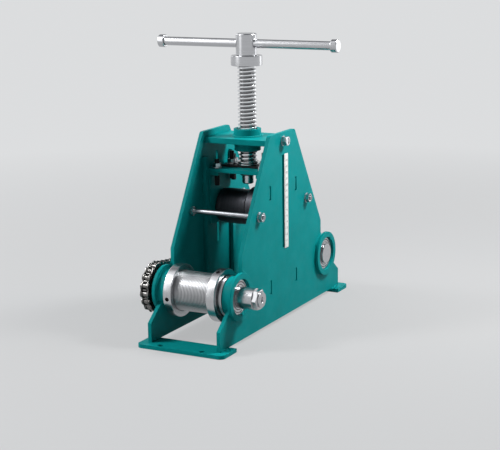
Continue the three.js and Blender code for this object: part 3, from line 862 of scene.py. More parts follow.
@dataclass(frozen=True)
class Printed:
    """A printed surface: the white strip, or the black marks on it."""

    name: str
    low: Colour
    high: Colour
    smooth: float = 0.44
    rough: float = 0.56
    gloss: float = 0.4
    tone_scale: float = 160.0
    grain_scale: float = 1400.0
    grain_depth: float = 0.00004
    relief: float = 0.1

    def material(self) -> bpy.types.Material:
        """Builds the material.

        Returns:
            The material.
        """
        shader = Shader(self.name, Specular_IOR_Level=self.gloss)
        tone = shader.noise(shader.place, self.tone_scale)
        shader.into("Base Color", shader.spread(tone, self.low, self.high))
        grain = shader.noise(shader.place, self.grain_scale)
        shader.into("Roughness", shader.levels(grain, self.smooth, self.rough))
        shader.relief(grain, self.grain_depth, self.relief)
        return shader.material


class Finishes:
    """Every material of the machine, made once."""

    def __init__(self) -> None:
        """Builds the materials."""
        across, upright = Axis.ACROSS, Axis.UPRIGHT
        middle, bar_line = (0.0, 0.0, 0.0), (0.0, 0.0, LAYOUT.bar_z)
        roller_line = (0.0, 0.0, LAYOUT.roller_z)
        self.paint = Paint().material()
        self.shaft_steel = {
            end: TurnedSteel(f"{end.label}_shaft_steel", across, LAYOUT.shaft(end)).material()
            for end in End
        }
        # The drums' steel carries painted shade: darker in the roots of their grooves and in the neck
        # beside the lip.
        self.drum_steel = {
            end: TurnedSteel(
                f"{end.label}_drum_steel", across, LAYOUT.shaft(end),
                smooth=0.34, rough=0.42, groove=(30.2, 31.0),
            ).material()
            for end in End
        }
        self.screw_steel = TurnedSteel("screw_steel", upright, middle).material()
        # The thread is the screw's own steel, given a lighter base colour as a painted highlight on its
        # crests, and painted shade in its roots.
        self.thread_steel = TurnedSteel(
            "thread_steel", upright, middle, (0.72, 0.73, 0.75, 1), (0.78, 0.79, 0.81, 1),
            groove=(11.8, 14.8), painted_groove_shade=0.25,
        ).material()
        self.bar_steel = TurnedSteel(
            "bar_steel", across, bar_line, smooth=0.2, rough=0.25,
        ).material()
        self.axle_steel = TurnedSteel("axle_steel", across, roller_line).material()
        self.roller_black = TurnedSteel(
            "roller_black", across, roller_line, (0.05, 0.052, 0.06, 1), (0.064, 0.066, 0.075, 1),
            smooth=0.4, rough=0.5,
        ).material()
        self.zinc = PlainMetal(
            "zinc", (0.5, 0.52, 0.54, 1), (0.58, 0.6, 0.62, 1), smooth=0.24, rough=0.32,
        ).material()
        self.rod_steel = PlainMetal(
            "rod_steel", (0.28, 0.295, 0.315, 1), (0.32, 0.335, 0.355, 1),
            smooth=0.28, rough=0.32, relief=0.008,
        ).material()
        self.chain_steel = PlainMetal(
            "chain_steel", (0.1, 0.098, 0.095, 1), (0.2, 0.196, 0.19, 1), smooth=0.2, rough=0.34,
        ).material()
        self.dark_steel = PlainMetal(
            "dark_steel", (0.05, 0.05, 0.055, 1), (0.1, 0.1, 0.105, 1), smooth=0.3, rough=0.45,
        ).material()
        self.black_steel = PlainMetal(
            "black_steel", (0.01, 0.01, 0.011, 1), (0.024, 0.024, 0.026, 1),
            smooth=0.38, rough=0.52, metallic=0.6,
        ).material()
        self.strip_white = Printed(
            "strip_white", (0.72, 0.73, 0.71, 1), (0.82, 0.82, 0.8, 1),
        ).material()
        self.mark_black = Printed(
            "mark_black", (0.01, 0.01, 0.01, 1), (0.03, 0.03, 0.03, 1),
        ).material()


def finish(
    mesh: BMesh,
    name: str,
    body: str,
    material: bpy.types.Material,
    stands_for: Sequence[str] = (),
) -> None:
    """Makes a mesh a piece of the machine.

    Args:
        mesh: The closed mesh in millimetres, which is used up.
        name: The piece's name.
        body: The body that it rides on.
        material: Its finish.
        stands_for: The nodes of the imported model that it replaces.
    """
    bmesh.ops.scale(mesh, vec=(MILLIMETRE,) * 3, verts=mesh.verts)
    limit = math.radians(SMOOTH_ANGLE)
    for face in mesh.faces:
        face.smooth = True
    for edge in mesh.edges:
        edge.smooth = len(edge.link_faces) != 2 or edge.calc_face_angle(0.0) < limit
    data = bpy.data.meshes.new(name)
    mesh.to_mesh(data)
    open_edges = sum(not edge.is_manifold for edge in mesh.edges)
    mesh.free()
    data.materials.append(material)
    piece = bpy.data.objects.new(name, data)
    bpy.context.scene.collection.objects.link(piece)
    shading = piece.modifiers.new("shading", "WEIGHTED_NORMAL")
    shading.keep_sharp, shading.weight = True, NORMAL_WEIGHT
    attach(piece, body)
    if stands_for:
        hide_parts(*stands_for)
    LOG.info("%s: %d faces, %d open edges", name, len(data.polygons), open_edges)


# Sub-assemblies


@dataclass
class Plates:
    """The side plates, feet, guide bars and bridge plate, with the welds between them."""

    finishes: Finishes
    edge: float = 0.8
    foot_outer: float = 231.0
    foot_length: float = 44.0
    foot_half_width: float = 75.0
    foot_corner: float = 9.0
    foot_hole_radius: float = 4.25
    foot_hole_x: float = 223.0
    foot_hole_y: float = 36.0
    weld_radius: float = 1.9
    weld_step: float = 0.9
    guide_x: Point = (39.5, 49.0)
    guide_y: float = 49.5
    guide_z: Point = (50.0, 266.0)
    tab_x: Point = (44.2, 47.8)
    tab_root: float = 1.0
    tab_end: float = 61.7
    tab_edge: float = 0.5
    tab_half_height: float = 9.7
    tab_heights: Point = (64.5, 216.0)
    foot_weld: Point = (189.0, 213.5)
    housing_weld_radius: float = 38.9
    housing_weld_share: float = 0.8
    housing_weld: Point = (28.0, 74.0)

    def build(self) -> None:
        """Builds every plate."""
        for side in Side:
            node = f"side_plate_{side.label}"
            self.piece(from_node(node, self.edge), f"{side.label}_plate", [node])
        for end in End:
            self.foot(end)
            for side in Side:
                self.guide(end, side)
                self.welds(end, side)
        self.piece(from_node("bridge_plate", self.edge), "bridge", ["bridge_plate"])

    def piece(self, mesh: BMesh, name: str, nodes: Sequence[str]) -> None:
        """Finishes a painted piece of the frame."""
        finish(mesh, name, "frame", self.finishes.paint, nodes)

    def foot(self, end: End) -> None:
        """Builds the foot under one end, with its two bolt holes.

        Args:
            end: The end that it is at.
        """
        inner = end.value * (self.foot_outer - self.foot_length)
        outer = end.value * self.foot_outer
        wide = self.foot_half_width
        corners = [
            Corner(inner, -wide), Corner(outer, -wide, self.foot_corner),
            Corner(outer, wide, self.foot_corner), Corner(inner, wide),
        ]
        holes = [
            Hole(end.value * self.foot_hole_x, y, self.foot_hole_radius)
            for y in (-self.foot_hole_y, self.foot_hole_y)
        ]
        mesh = sheet(corners, (0.0, LAYOUT.wall), holes, self.edge)
        self.piece(mesh, f"{end.label}_foot", [f"foot_{end.label}"])

    def guide(self, end: End, side: Side) -> None:
        """Builds a guide bar, with the two tabs that show in the slots of the side plate.

        Args:
            end: The end that it is at.
            side: The side that it is on.
        """
        root = LAYOUT.plate_inner - LAYOUT.clearance
        x = [end.value * place for place in self.guide_x]
        y = [side.value * place for place in (self.guide_y, root)]
        tab_x = [end.value * place for place in self.tab_x]
        tab_y = [side.value * place for place in (root - self.tab_root, self.tab_end)]
        half = self.tab_half_height
        tabs = [box(tab_x, tab_y, (z - half, z + half), self.tab_edge) for z in self.tab_heights]
        mesh = together(box(x, y, self.guide_z, self.edge), *tabs)
        self.piece(mesh, f"{end.label}_{side.label}_guide", [f"guide_bar_{end.label}_{side.label}"])

    def welds(self, end: End, side: Side) -> None:
        """Lays the beads that hold a side plate to its foot and to its bearing housing.

        Args:
            end: The end that they are at.
            side: The side that they are on.
        """
        face = side.value * LAYOUT.plate_outer
        start, stop = (end.value * x for x in self.foot_weld)
        count = round(abs(stop - start) / self.weld_step)
        path = [
            Vector((start + (stop - start) * index / count, face, LAYOUT.wall))
            for index in range(count + 1)
        ]
        centre = Vector((end.value * LAYOUT.shaft_x, face, LAYOUT.shaft_z))
        low, high = self.housing_weld
        angles = (low, high) if end is End.FRONT else (180 - high, 180 - low)
        ring_path = arc(centre, self.housing_weld_radius, angles, self.weld_step, True)
        thinner = self.weld_radius * self.housing_weld_share
        mesh = together(bead(path, self.weld_radius), bead(ring_path, thinner))
        self.piece(mesh, f"{end.label}_{side.label}_welds", [])


@dataclass
class Bearings:
    """The four flanged housings and the ball bearings in them."""

    finishes: Finishes
    inner: float = 49.5
    body_radius: float = 31.0
    flange_radius: float = 37.3
    flange: Point = (62.8, 68.3)
    pocket_radius: float = 27.8
    lip_radius: float = 24.0
    lip: float = 1.7
    race_radius: float = 27.2
    race: Point = (51.5, 64.5)
    race_wall: float = 3.3
    race_edge: float = 0.5
    gap: float = 1.0
    shield: Point = (1.0, 0.4)
    shield_edge: float = 0.15
    # The black fill's insets from the races' faces; the fill stands in the cage's place and is painted
    # shade in the gap.
    cage: Point = (0.5, 1.5)
    cage_overlap: float = 0.2
    edge: float = 0.9

    def build(self) -> None:
        """Builds a housing and a bearing at each end of each shaft."""
        for end in End:
            for side in Side:
                self.housing(end, side)
                self.bearing(end, side)

    def housing(self, end: End, side: Side) -> None:
        """Builds one housing.

        Args:
            end: The end that it is at.
            side: The side that it is on.
        """
        low, high = self.flange
        floor = self.inner + self.lip
        profile = [
            (self.lip_radius, self.inner), (self.body_radius, self.inner), (self.body_radius, low),
            (self.flange_radius, low), (self.flange_radius, high), (self.pocket_radius, high),
            (self.pocket_radius, floor), (self.lip_radius, floor), (self.lip_radius, self.inner),
        ]
        mesh = turned(on_side(profile, side), Axis.ACROSS, LAYOUT.shaft(end), self.edge)
        name = f"{end.label}_{side.label}_housing"
        node = f"housing_{end.label}_{side.label}"
        finish(mesh, name, "frame", self.finishes.paint, [node])

    def bearing(self, end: End, side: Side) -> None:
        """Builds one bearing: two races, with a sunk shield over a gap between them that a black fill
        darkens as painted shade.

        Args:
            end: The end that it is at.
            side: The side that it is on.
        """
        low, high = self.race
        outer, inner = self.race_radius - self.race_wall, LAYOUT.shaft_bore + self.race_wall
        below, above = self.shield
        shield = ring(outer - self.gap, inner + self.gap, high - below, high - above)
        over, (start, stop) = self.cage_overlap, self.cage
        cavity = ring(outer + over, inner - over, low + start, high - stop)
        line, name = LAYOUT.shaft(end), f"{end.label}_{side.label}"
        shapes = [
            (ring(self.race_radius, outer, low, high), self.race_edge),
            (ring(inner, LAYOUT.shaft_bore, low, high), self.race_edge),
            (shield, self.shield_edge),
        ]
        races = together(*(
            turned(on_side(profile, side), Axis.ACROSS, line, ease) for profile, ease in shapes
        ))
        steel = self.finishes.shaft_steel[end]
        finish(races, f"{name}_races", "frame", steel, [f"bearing_{name}"])
        # A black ring fills the cavity behind the shield, as painted shade seen through the gap round
        # it.
        fill = turned(on_side(cavity, side), Axis.ACROSS, line)
        finish(fill, f"{name}_cage", "frame", self.finishes.black_steel)


@dataclass
class Fasteners:
    """The tie rods with their nuts, and the bolts into the ends of the bridge plate."""

    finishes: Finishes
    rod_radius: float = 4.0
    rod_pitch: float = 1.25
    rod_edge: float = 0.3
    rod_steps: int = 32
    thread_depth: float = 0.5
    thread_overlap: float = 1.0
    rod_end: float = 72.4
    thread_reach: float = 9.0
    tie_x: float = 85.0
    tie_z: float = 186.0
    washer_gap: float = 0.1
    washer_radius: float = 8.0
    washer_play: float = 0.2
    washer_edge: float = 0.25
    washer_steps: int = 48
    washer: float = 1.6
    nut_radius: float = 7.5
    nut_height: float = 6.5
    nut_mouth: Point = (4.9, 1.0)
    nut_turn: float = 12.0
    jam_height: float = 4.5
    jam_turn: float = 25.0
    bolt_z: float = 292.5
    head_radius: float = 7.9
    head_height: float = 8.0
    head_hollow: Point = (5.2, 1.2)
    shank_radius: float = 3.0
    shank_length: float = 24.0
    shank_steps: int = 24

    @property
    def seat(self) -> float:
        """Where the washers lie against a side plate."""
        return LAYOUT.plate_outer + self.washer_gap

    def build(self) -> None:
        """Builds every rod, nut and bolt of the frame."""
        for end in End:
            self.tie_rod(end)
            for side in Side:
                self.tie_nut(end, side)
        for side in Side:
            self.bridge_bolt(side)

    def tie_rod(self, end: End) -> None:
        """Builds one rod from nut to nut, plain between its threaded ends.

        Args:
            end: The end that it is at.
        """
        line = (end.value * self.tie_x, 0.0, self.tie_z)
        root = self.rod_radius - self.thread_depth
        plain = LAYOUT.plate_inner - self.thread_reach
        middle = rod(self.rod_radius, -plain, plain)
        mesh = turned(middle, Axis.ACROSS, line, self.rod_edge, self.rod_steps)
        for side in Side:
            span = sorted((side.value * (plain - self.thread_overlap), side.value * self.rod_end))
            together(mesh, threaded(self.rod_radius, root, self.rod_pitch, span, Axis.ACROSS, line))
        name, node = f"{end.label}_rod", f"tie_rod_{end.label}"
        finish(mesh, name, "frame", self.finishes.rod_steel, [node])

    def washer_ring(self, line: Sequence[float], side: Side, bore: float) -> BMesh:
        """Builds a washer outside a side plate."""
        flat = ring(self.washer_radius, bore, self.seat, self.seat + self.washer)
        return turned(on_side(flat, side), Axis.ACROSS, line, self.washer_edge, self.washer_steps)

    def tie_nut(self, end: End, side: Side) -> None:
        """Builds the nut and washer outside a side plate and the thin nut inside it.

        Args:
            end: The end that they are at.
            side: The side that they are on.
        """
        x, z, out = end.value * self.tie_x, self.tie_z, side.value
        nut = Hexagon(self.nut_radius, self.nut_height, self.nut_mouth, True)
        jam = Hexagon(self.nut_radius, self.jam_height, self.nut_mouth, True)
        mesh = together(
            self.washer_ring((x, 0.0, z), side, self.rod_radius + self.washer_play),
            nut.build(Axis.ACROSS, (x, out * (self.seat + self.washer), z), out, self.nut_turn),
            jam.build(Axis.ACROSS, (x, out * LAYOUT.plate_inner, z), -out, self.jam_turn),
        )
        name = f"{end.label}_{side.label}_nut"
        node = f"tie_nut_{end.label}_{side.label}"
        finish(mesh, name, "frame", self.finishes.zinc, [node])

    def bridge_bolt(self, side: Side) -> None:
        """Builds the bolt, with a hollow in its head, that holds one end of the bridge plate.

        Args:
            side: The side that it is on.
        """
        line, top = (0, 0, self.bolt_z), self.seat + self.washer
        head = Hexagon(self.head_radius, self.head_height, self.head_hollow, True)
        shank = rod(self.shank_radius, LAYOUT.plate_inner - self.shank_length, top)
        mesh = together(
            self.washer_ring(line, side, self.shank_radius),
            head.build(Axis.ACROSS, (0, side.value * top, self.bolt_z), side.value),
            turned(on_side(shank, side), Axis.ACROSS, line, 0.0, self.shank_steps),
        )
        name, node = f"{side.label}_bolt", f"bridge_bolt_{side.label}"
        finish(mesh, name, "frame", self.finishes.zinc, [node])


@dataclass
class ScrewNut:
    """The boss on the bridge plate that the pressure screw runs in."""

    finishes: Finishes
    body_radius: float = 21.0
    boss_radius: float = 22.0
    bottom: float = 274.0
    top: float = 309.0
    bore: float = 15.3
    mouth: float = 2.0
    edge: float = 0.9
    weld_radius: float = 2.0
    weld_step: float = 1.0
    weld_angles: Point = (0.0, 359.0)

    def build(self) -> None:
        """Builds the boss and the weld round its foot."""
        seat = LAYOUT.bridge_top + LAYOUT.clearance
        profile = [
            (self.bore, self.bottom), (self.body_radius, self.bottom), (self.body_radius, seat),
            (self.boss_radius, seat), (self.boss_radius, self.top), (self.bore + self.mouth, self.top),
            (self.bore, self.top - self.mouth), (self.bore, self.bottom),
        ]
        boss = turned(profile, Axis.UPRIGHT, (0, 0, 0), self.edge)
        reach = self.boss_radius + LAYOUT.clearance
        path = arc(Vector((0, 0, seat)), reach, self.weld_angles, self.weld_step, False)
        mesh = together(boss, bead(path, self.weld_radius))
        finish(mesh, "screw_boss", "frame", self.finishes.paint, ["screw_nut"])


@dataclass
class ScaleStrip:
    """The white strip beside the slot, with a mark every 2 mm and a plain number every 10 mm."""

    finishes: Finishes
    left: float = 3.3
    right: float = 16.3
    bottom: float = 118.0
    top: float = 271.0
    face: float = -62.8
    thickness: float = 0.8
    edge: float = 0.25
    print_depth: float = 0.05
    margin: float = 2.0
    mark_inset: float = 0.6
    mark_step: int = 2
    number_step: int = 10
    long_mark: float = 4.4
    short_mark: float = 2.6
    mark_width: float = 0.45
    number_size: float = 5.4
    number_shift: float = 1.8
    number_steps: int = 3

    def build(self) -> None:
        """Builds the strip and its print."""
        front = self.face - self.thickness
        mesh = box((self.left, self.right), (front, self.face), (self.bottom, self.top), self.edge)
        finish(mesh, "strip", "frame", self.finishes.strip_white, ["scale_strip"])
        depth = (front - self.print_depth, front)
        start, count = self.bottom + self.margin, int(self.top - self.bottom - 2 * self.margin)
        left, half = self.left + self.mark_inset, self.mark_width / 2
        marks = []
        for index in range(0, count + 1, self.mark_step):
            length = self.short_mark if index % self.number_step else self.long_mark
            z = start + index
            marks.append(box((left, left + length), depth, (z - half, z + half)))
        numbers = [
            self.number(str(index), start + index * self.number_step)
            for index in range(1, count // self.number_step + 1)
        ]
        mesh = together(*marks, *numbers)
        finish(mesh, "strip_print", "frame", self.finishes.mark_black)

    def number(self, words: str, height: float) -> BMesh:
        """Makes one plain number on the strip's face, beside its long mark.

        Args:
            words: The number.
            height: The height of its middle.

        Returns:
            The closed mesh.
        """
        curve = bpy.data.curves.new("number", "FONT")
        curve.body, curve.size = words, self.number_size
        curve.align_x, curve.align_y = "CENTER", "CENTER"
        curve.extrude, curve.resolution_u = self.print_depth, self.number_steps
        carrier = bpy.data.objects.new("number", curve)
        bpy.context.scene.collection.objects.link(carrier)
        graph = bpy.context.evaluated_depsgraph_get()
        shape = bpy.data.meshes.new_from_object(carrier.evaluated_get(graph))
        mesh = bmesh.new()
        mesh.from_mesh(shape)
        bpy.data.objects.remove(carrier)
        bpy.data.curves.remove(curve)
        bpy.data.meshes.remove(shape)
        bmesh.ops.remove_doubles(mesh, verts=mesh.verts, dist=TURNED_MERGE)
        middle = (self.left + self.right) / 2 + self.number_shift
        placing = Matrix.Translation((middle, self.face - self.thickness, height))
        return moved(mesh, placing @ Matrix.Rotation(math.pi / 2, 4, "X"))


@dataclass
class PressureScrew:
    """The trapezoidal screw with its collar, hub, thrust rings and clip."""

    finishes: Finishes
    crest: float = 15.0
    root: float = 11.6
    pitch: float = 6.0
    crest_share: float = 0.36
    flank_share: float = 0.15
    thread_edge: float = 0.25
    thread_edge_angle: float = 40.0
    thread_steps: int = 40
    bottom: float = 257.0
    overlap: float = 1.0
    core_gap: float = 0.5
    collar: Point = (409.0, 425.0)
    collar_radius: float = 25.0
    collar_edge: float = 1.0
    spindle_radius: float = 9.25
    spindle_bottom: float = 220.0
    spindle_chamfer: float = 1.5
    spindle_edge: float = 0.3
    spindle_steps: int = 64
    clip_radius: float = 12.5
    clip_bore: float = 8.4
    clip: Point = (233.8, 235.4)
    clip_groove: Point = (233.5, 235.55)
    clip_groove_depth: float = 1.2
    clip_edge: float = 0.25
    hub_radius: float = 16.75
    hub: Point = (425.3, 459.5)
    hub_chamfer: float = 1.6
    hub_edge: float = 0.5
    hole_radius: float = 7.3
    hole_half_length: float = 30.0
    hole_steps: int = 64
    thrust_radius: float = 17.5
    thrust: Point = (250.8, 256.7)
    thrust_ring: float = 2.2
    thrust_edge: float = 0.5
    cage_inset: Point = (1.6, 1.0)
    cage_overlap: float = 0.1

    def build(self) -> None:
        """Builds every piece that turns with the screw."""
        self.thread()
        self.spindle()
        clip = ring(self.clip_radius, self.clip_bore, *self.clip)
        dark, steel = self.finishes.dark_steel, self.finishes.screw_steel
        mesh = self.lathe(clip, self.clip_edge)
        finish(mesh, "clip_ring", "screw", dark, ["retaining_clip"])
        self.thrust_rings()
        collar = ring(self.collar_radius, self.crest + LAYOUT.clearance, *self.collar)
        mesh = self.lathe(collar, self.collar_edge)
        finish(mesh, "screw_collar", "screw", steel, ["stop_collar"])
        self.bar_head()

    @staticmethod
    def lathe(profile: Sequence[Point], ease: float = 0.0, steps: int = 96) -> BMesh:
        """Turns a profile about the screw's own line."""
        return turned(profile, Axis.UPRIGHT, (0, 0, 0), ease, steps)

    def thread(self) -> None:
        """Winds the thread from the carriage up into the collar."""
        span = (self.bottom, self.collar[1] - self.overlap)
        mesh = threaded(
            self.crest, self.root, self.pitch, span, Axis.UPRIGHT, (0, 0, 0),
            self.crest_share, self.flank_share, self.thread_steps,
        )
        ease_edges(mesh, self.thread_edge, self.thread_edge_angle, 1)
        # This steel carries a painted highlight on the crests and painted shade in the roots.
        grooved = self.finishes.thread_steel
        finish(mesh, "screw_thread", "screw", grooved, ["pressure_screw"])

    def spindle(self) -> None:
        """Builds the core in the thread and the spindle below it, with the clip's groove."""
        radius, core, foot = self.spindle_radius, self.root - self.core_gap, self.spindle_bottom
        low, high = self.clip_groove
        deep, shoulder, top = radius - self.clip_groove_depth, self.bottom + self.overlap, self.collar[1]
        profile = [
            (0, foot), (radius - self.spindle_chamfer, foot), (radius, foot + self.spindle_chamfer),
            (radius, low), (deep, low), (deep, high), (radius, high),
            (radius, shoulder), (core, shoulder), (core, top), (0, top),
        ]
        mesh = self.lathe(profile, self.spindle_edge, self.spindle_steps)
        steel = self.finishes.screw_steel
        finish(mesh, "screw_spindle", "screw", steel, ["pressure_screw"])

    def thrust_rings(self) -> None:
        """Builds the two thrust rings with the cage between them, coloured black as painted shade
        between the rings.
        """
        low, high = self.thrust
        outer, bore, thick = self.thrust_radius, self.spindle_radius + LAYOUT.clearance, self.thrust_ring
        mesh = together(
            self.lathe(ring(outer, bore, low, low + thick), self.thrust_edge),
            self.lathe(ring(outer, bore, high - thick, high), self.thrust_edge),
        )
        finish(mesh, "thrust_rings", "screw", self.finishes.screw_steel, ["thrust_bearing"])
        # The cage is a real part; its black is painted shade between the two rings.
        inset, wider = self.cage_inset
        rise = thick - self.cage_overlap
        cage = self.lathe(ring(outer - inset, bore + wider, low + rise, high - rise))
        finish(cage, "thrust_cage", "screw", self.finishes.black_steel)

    def bar_head(self) -> None:
        """Builds the hub, with the cross hole that the bar slides in."""
        low, high = self.hub
        radius, slope, half = self.hub_radius, self.hub_chamfer, self.hole_half_length
        profile = [(0, low), (radius, low), (radius, high - slope), (radius - slope, high), (0, high)]
        drill = rod(self.hole_radius, -half, half)
        hole = turned(drill, Axis.ACROSS, (0, 0, LAYOUT.bar_z), 0.0, self.hole_steps)
        mesh = drilled(self.lathe(profile, self.hub_edge), hole)
        finish(mesh, "screw_hub", "screw", self.finishes.screw_steel, ["bar_hub"])


@dataclass
class HandleBar:
    """The bar through the hub, with its two end caps."""

    finishes: Finishes
    radius: float = 7.0
    half_length: float = 158.0
    cap_radius: float = 10.25
    bar_edge: float = 0.4
    steps: int = 64
    cap_width: float = 11.0
    cap_wall: float = 3.0
    cap_chamfer: float = 1.0
    cap_edge: float = 0.3

    def build(self) -> None:
        """Builds the bar and its caps."""
        line = (0.0, 0.0, LAYOUT.bar_z)
        half = self.half_length - self.cap_wall - LAYOUT.clearance
        bar = turned(rod(self.radius, -half, half), Axis.ACROSS, line, self.bar_edge, self.steps)
        finish(bar, "bar", "handle_bar", self.finishes.bar_steel, ["t_bar"])
        mouth, end = self.half_length - self.cap_width, self.half_length
        bore, radius, slope = self.radius + LAYOUT.clearance, self.cap_radius, self.cap_chamfer
        profile = [
            (bore, mouth), (radius - slope, mouth), (radius, mouth + slope),
            (radius, end - slope), (radius - slope, end), (0, end),
            (0, end - self.cap_wall), (bore, end - self.cap_wall), (bore, mouth),
        ]
        for side in Side:
            cap = turned(on_side(profile, side), Axis.ACROSS, line, self.cap_edge, self.steps)
            name, node = f"{side.label}_cap", f"bar_cap_{side.label}"
            finish(cap, name, "handle_bar", self.finishes.bar_steel, [node])


@dataclass
class Carriage:
    """The sliding carriage with its bolts, studs, retainer plate, cheeks and axle."""

    finishes: Finishes
    edge: float = 0.6
    clamp_x: float = 28.0
    clamp_y: float = 41.0
    clamp: Point = (218.4, 261.0)
    stud_y: float = 29.0
    stud: Point = (226.0, 271.0)
    retainer_top: float = 250.5
    bolt_radius: float = 4.0
    bolt_pitch: float = 1.25
    thread_depth: float = 0.5
    thread_steps: int = 20
    nut_radius: float = 7.5
    nut_height: float = 6.5
    nut_mouth: Point = (4.8, 0.9)
    nut_turn: float = 15.0
    washer_radius: float = 8.0
    washer_bore: float = 4.1
    washer: Point = (0.1, 1.3)
    washer_edge: float = 0.2
    washer_steps: int = 40
    axle_radius: float = 10.0
    axle_end: float = 55.4
    axle_head_radius: float = 13.0
    axle_head: float = 2.4
    axle_edge: float = 0.6
    axle_steps: int = 64

    def build(self) -> None:
        """Builds every piece that slides with the carriage."""
        paint, black = self.finishes.paint, self.finishes.black_steel
        self.plate("carriage_plate", "slide_plate", paint)
        self.plate("retainer_plate", "keeper_plate", black)
        for side in Side:
            self.plate(f"cheek_{side.label}", f"{side.label}_cheek", paint)
            self.bolt(0.0, side.value * self.stud_y, self.stud, self.retainer_top, f"stud_{side.label}")
            for end in End:
                x, y = end.value * self.clamp_x, side.value * self.clamp_y
                node = f"clamp_bolt_{end.label}_{side.label}"
                self.bolt(x, y, self.clamp, LAYOUT.carriage_top, node)
        self.axle()

    def plate(self, node: str, name: str, material: bpy.types.Material) -> None:
        """Finishes a flat piece that keeps its node's shape."""
        finish(from_node(node, self.edge), name, "carriage", material, [node])

    def bolt(self, x: float, y: float, span: Point, seat: float, node: str) -> None:
        """Builds a blackened rod with a plated nut and washer on top of a plate.

        Args:
            x: The rod's place along the machine.
            y: The rod's place across it.
            span: The rod's lowest and highest point.
            seat: The height that the washer lies on.
            node: The node that it replaces.
        """
        up, line, root = Axis.UPRIGHT, (x, y, 0), self.bolt_radius - self.thread_depth
        shank = threaded(
            self.bolt_radius, root, self.bolt_pitch, span, up, line, steps=self.thread_steps,
        )
        finish(shank, f"{node}_rod", "carriage", self.finishes.black_steel, [node])
        low, high = (seat + rise for rise in self.washer)
        nut = Hexagon(self.nut_radius, self.nut_height, self.nut_mouth, True)
        flat = ring(self.washer_radius, self.washer_bore, low, high)
        washer = turned(flat, up, line, self.washer_edge, self.washer_steps)
        mesh = together(nut.build(up, (x, y, high), 1, self.nut_turn), washer)
        finish(mesh, f"{node}_nut", "carriage", self.finishes.zinc)

    def axle(self) -> None:
        """Builds the axle with its head outside the near cheek."""
        end = self.axle_end
        neck = -end + self.axle_head
        profile = [
            (0, -end), (self.axle_head_radius, -end), (self.axle_head_radius, neck),
            (self.axle_radius, neck), (self.axle_radius, end), (0, end),
        ]
        mesh = turned(profile, Axis.ACROSS, (0, 0, LAYOUT.roller_z), self.axle_edge, self.axle_steps)
        finish(mesh, "axle", "carriage", self.finishes.axle_steel, ["roller_axle"])


@dataclass
class PressRoller:
    """The blackened roller and its two flanges."""

    finishes: Finishes
    radius: float = 28.5
    lip_radius: float = 29.5
    lip: float = 3.0
    start: float = -7.0
    stop: float = 37.0
    near_radius: float = 34.0
    near_end: float = -44.7
    chamfer: float = 3.0
    far_radius: float = 27.5
    far_end: float = 45.0
    bore: float = 10.3
    edge: float = 0.8

    def build(self) -> None:
        """Builds the roller and its flanges."""
        line = (0.0, 0.0, LAYOUT.roller_z)
        lip_end = self.start + self.lip
        roller = [
            (self.bore, self.start), (self.lip_radius, self.start), (self.lip_radius, lip_end),
            (self.radius, lip_end), (self.radius, self.stop), (self.bore, self.stop),
            (self.bore, self.start),
        ]
        top = self.start - LAYOUT.clearance
        near = [
            (self.bore, self.near_end), (self.near_radius, self.near_end),
            (self.near_radius, top - self.chamfer), (self.near_radius - self.chamfer, top),
            (self.bore, top), (self.bore, self.near_end),
        ]
        far = ring(self.far_radius, self.bore, self.stop + LAYOUT.clearance, self.far_end)
        shapes = [
            (roller, "main_roller", "press_roller"), (near, "near_roller_ring", "roller_flange_near"),
            (far, "far_roller_ring", "roller_flange_far"),
        ]
        for profile, name, node in shapes:
            mesh = turned(profile, Axis.ACROSS, line, self.edge)
            finish(mesh, name, "press_roller", self.finishes.roller_black, [node])


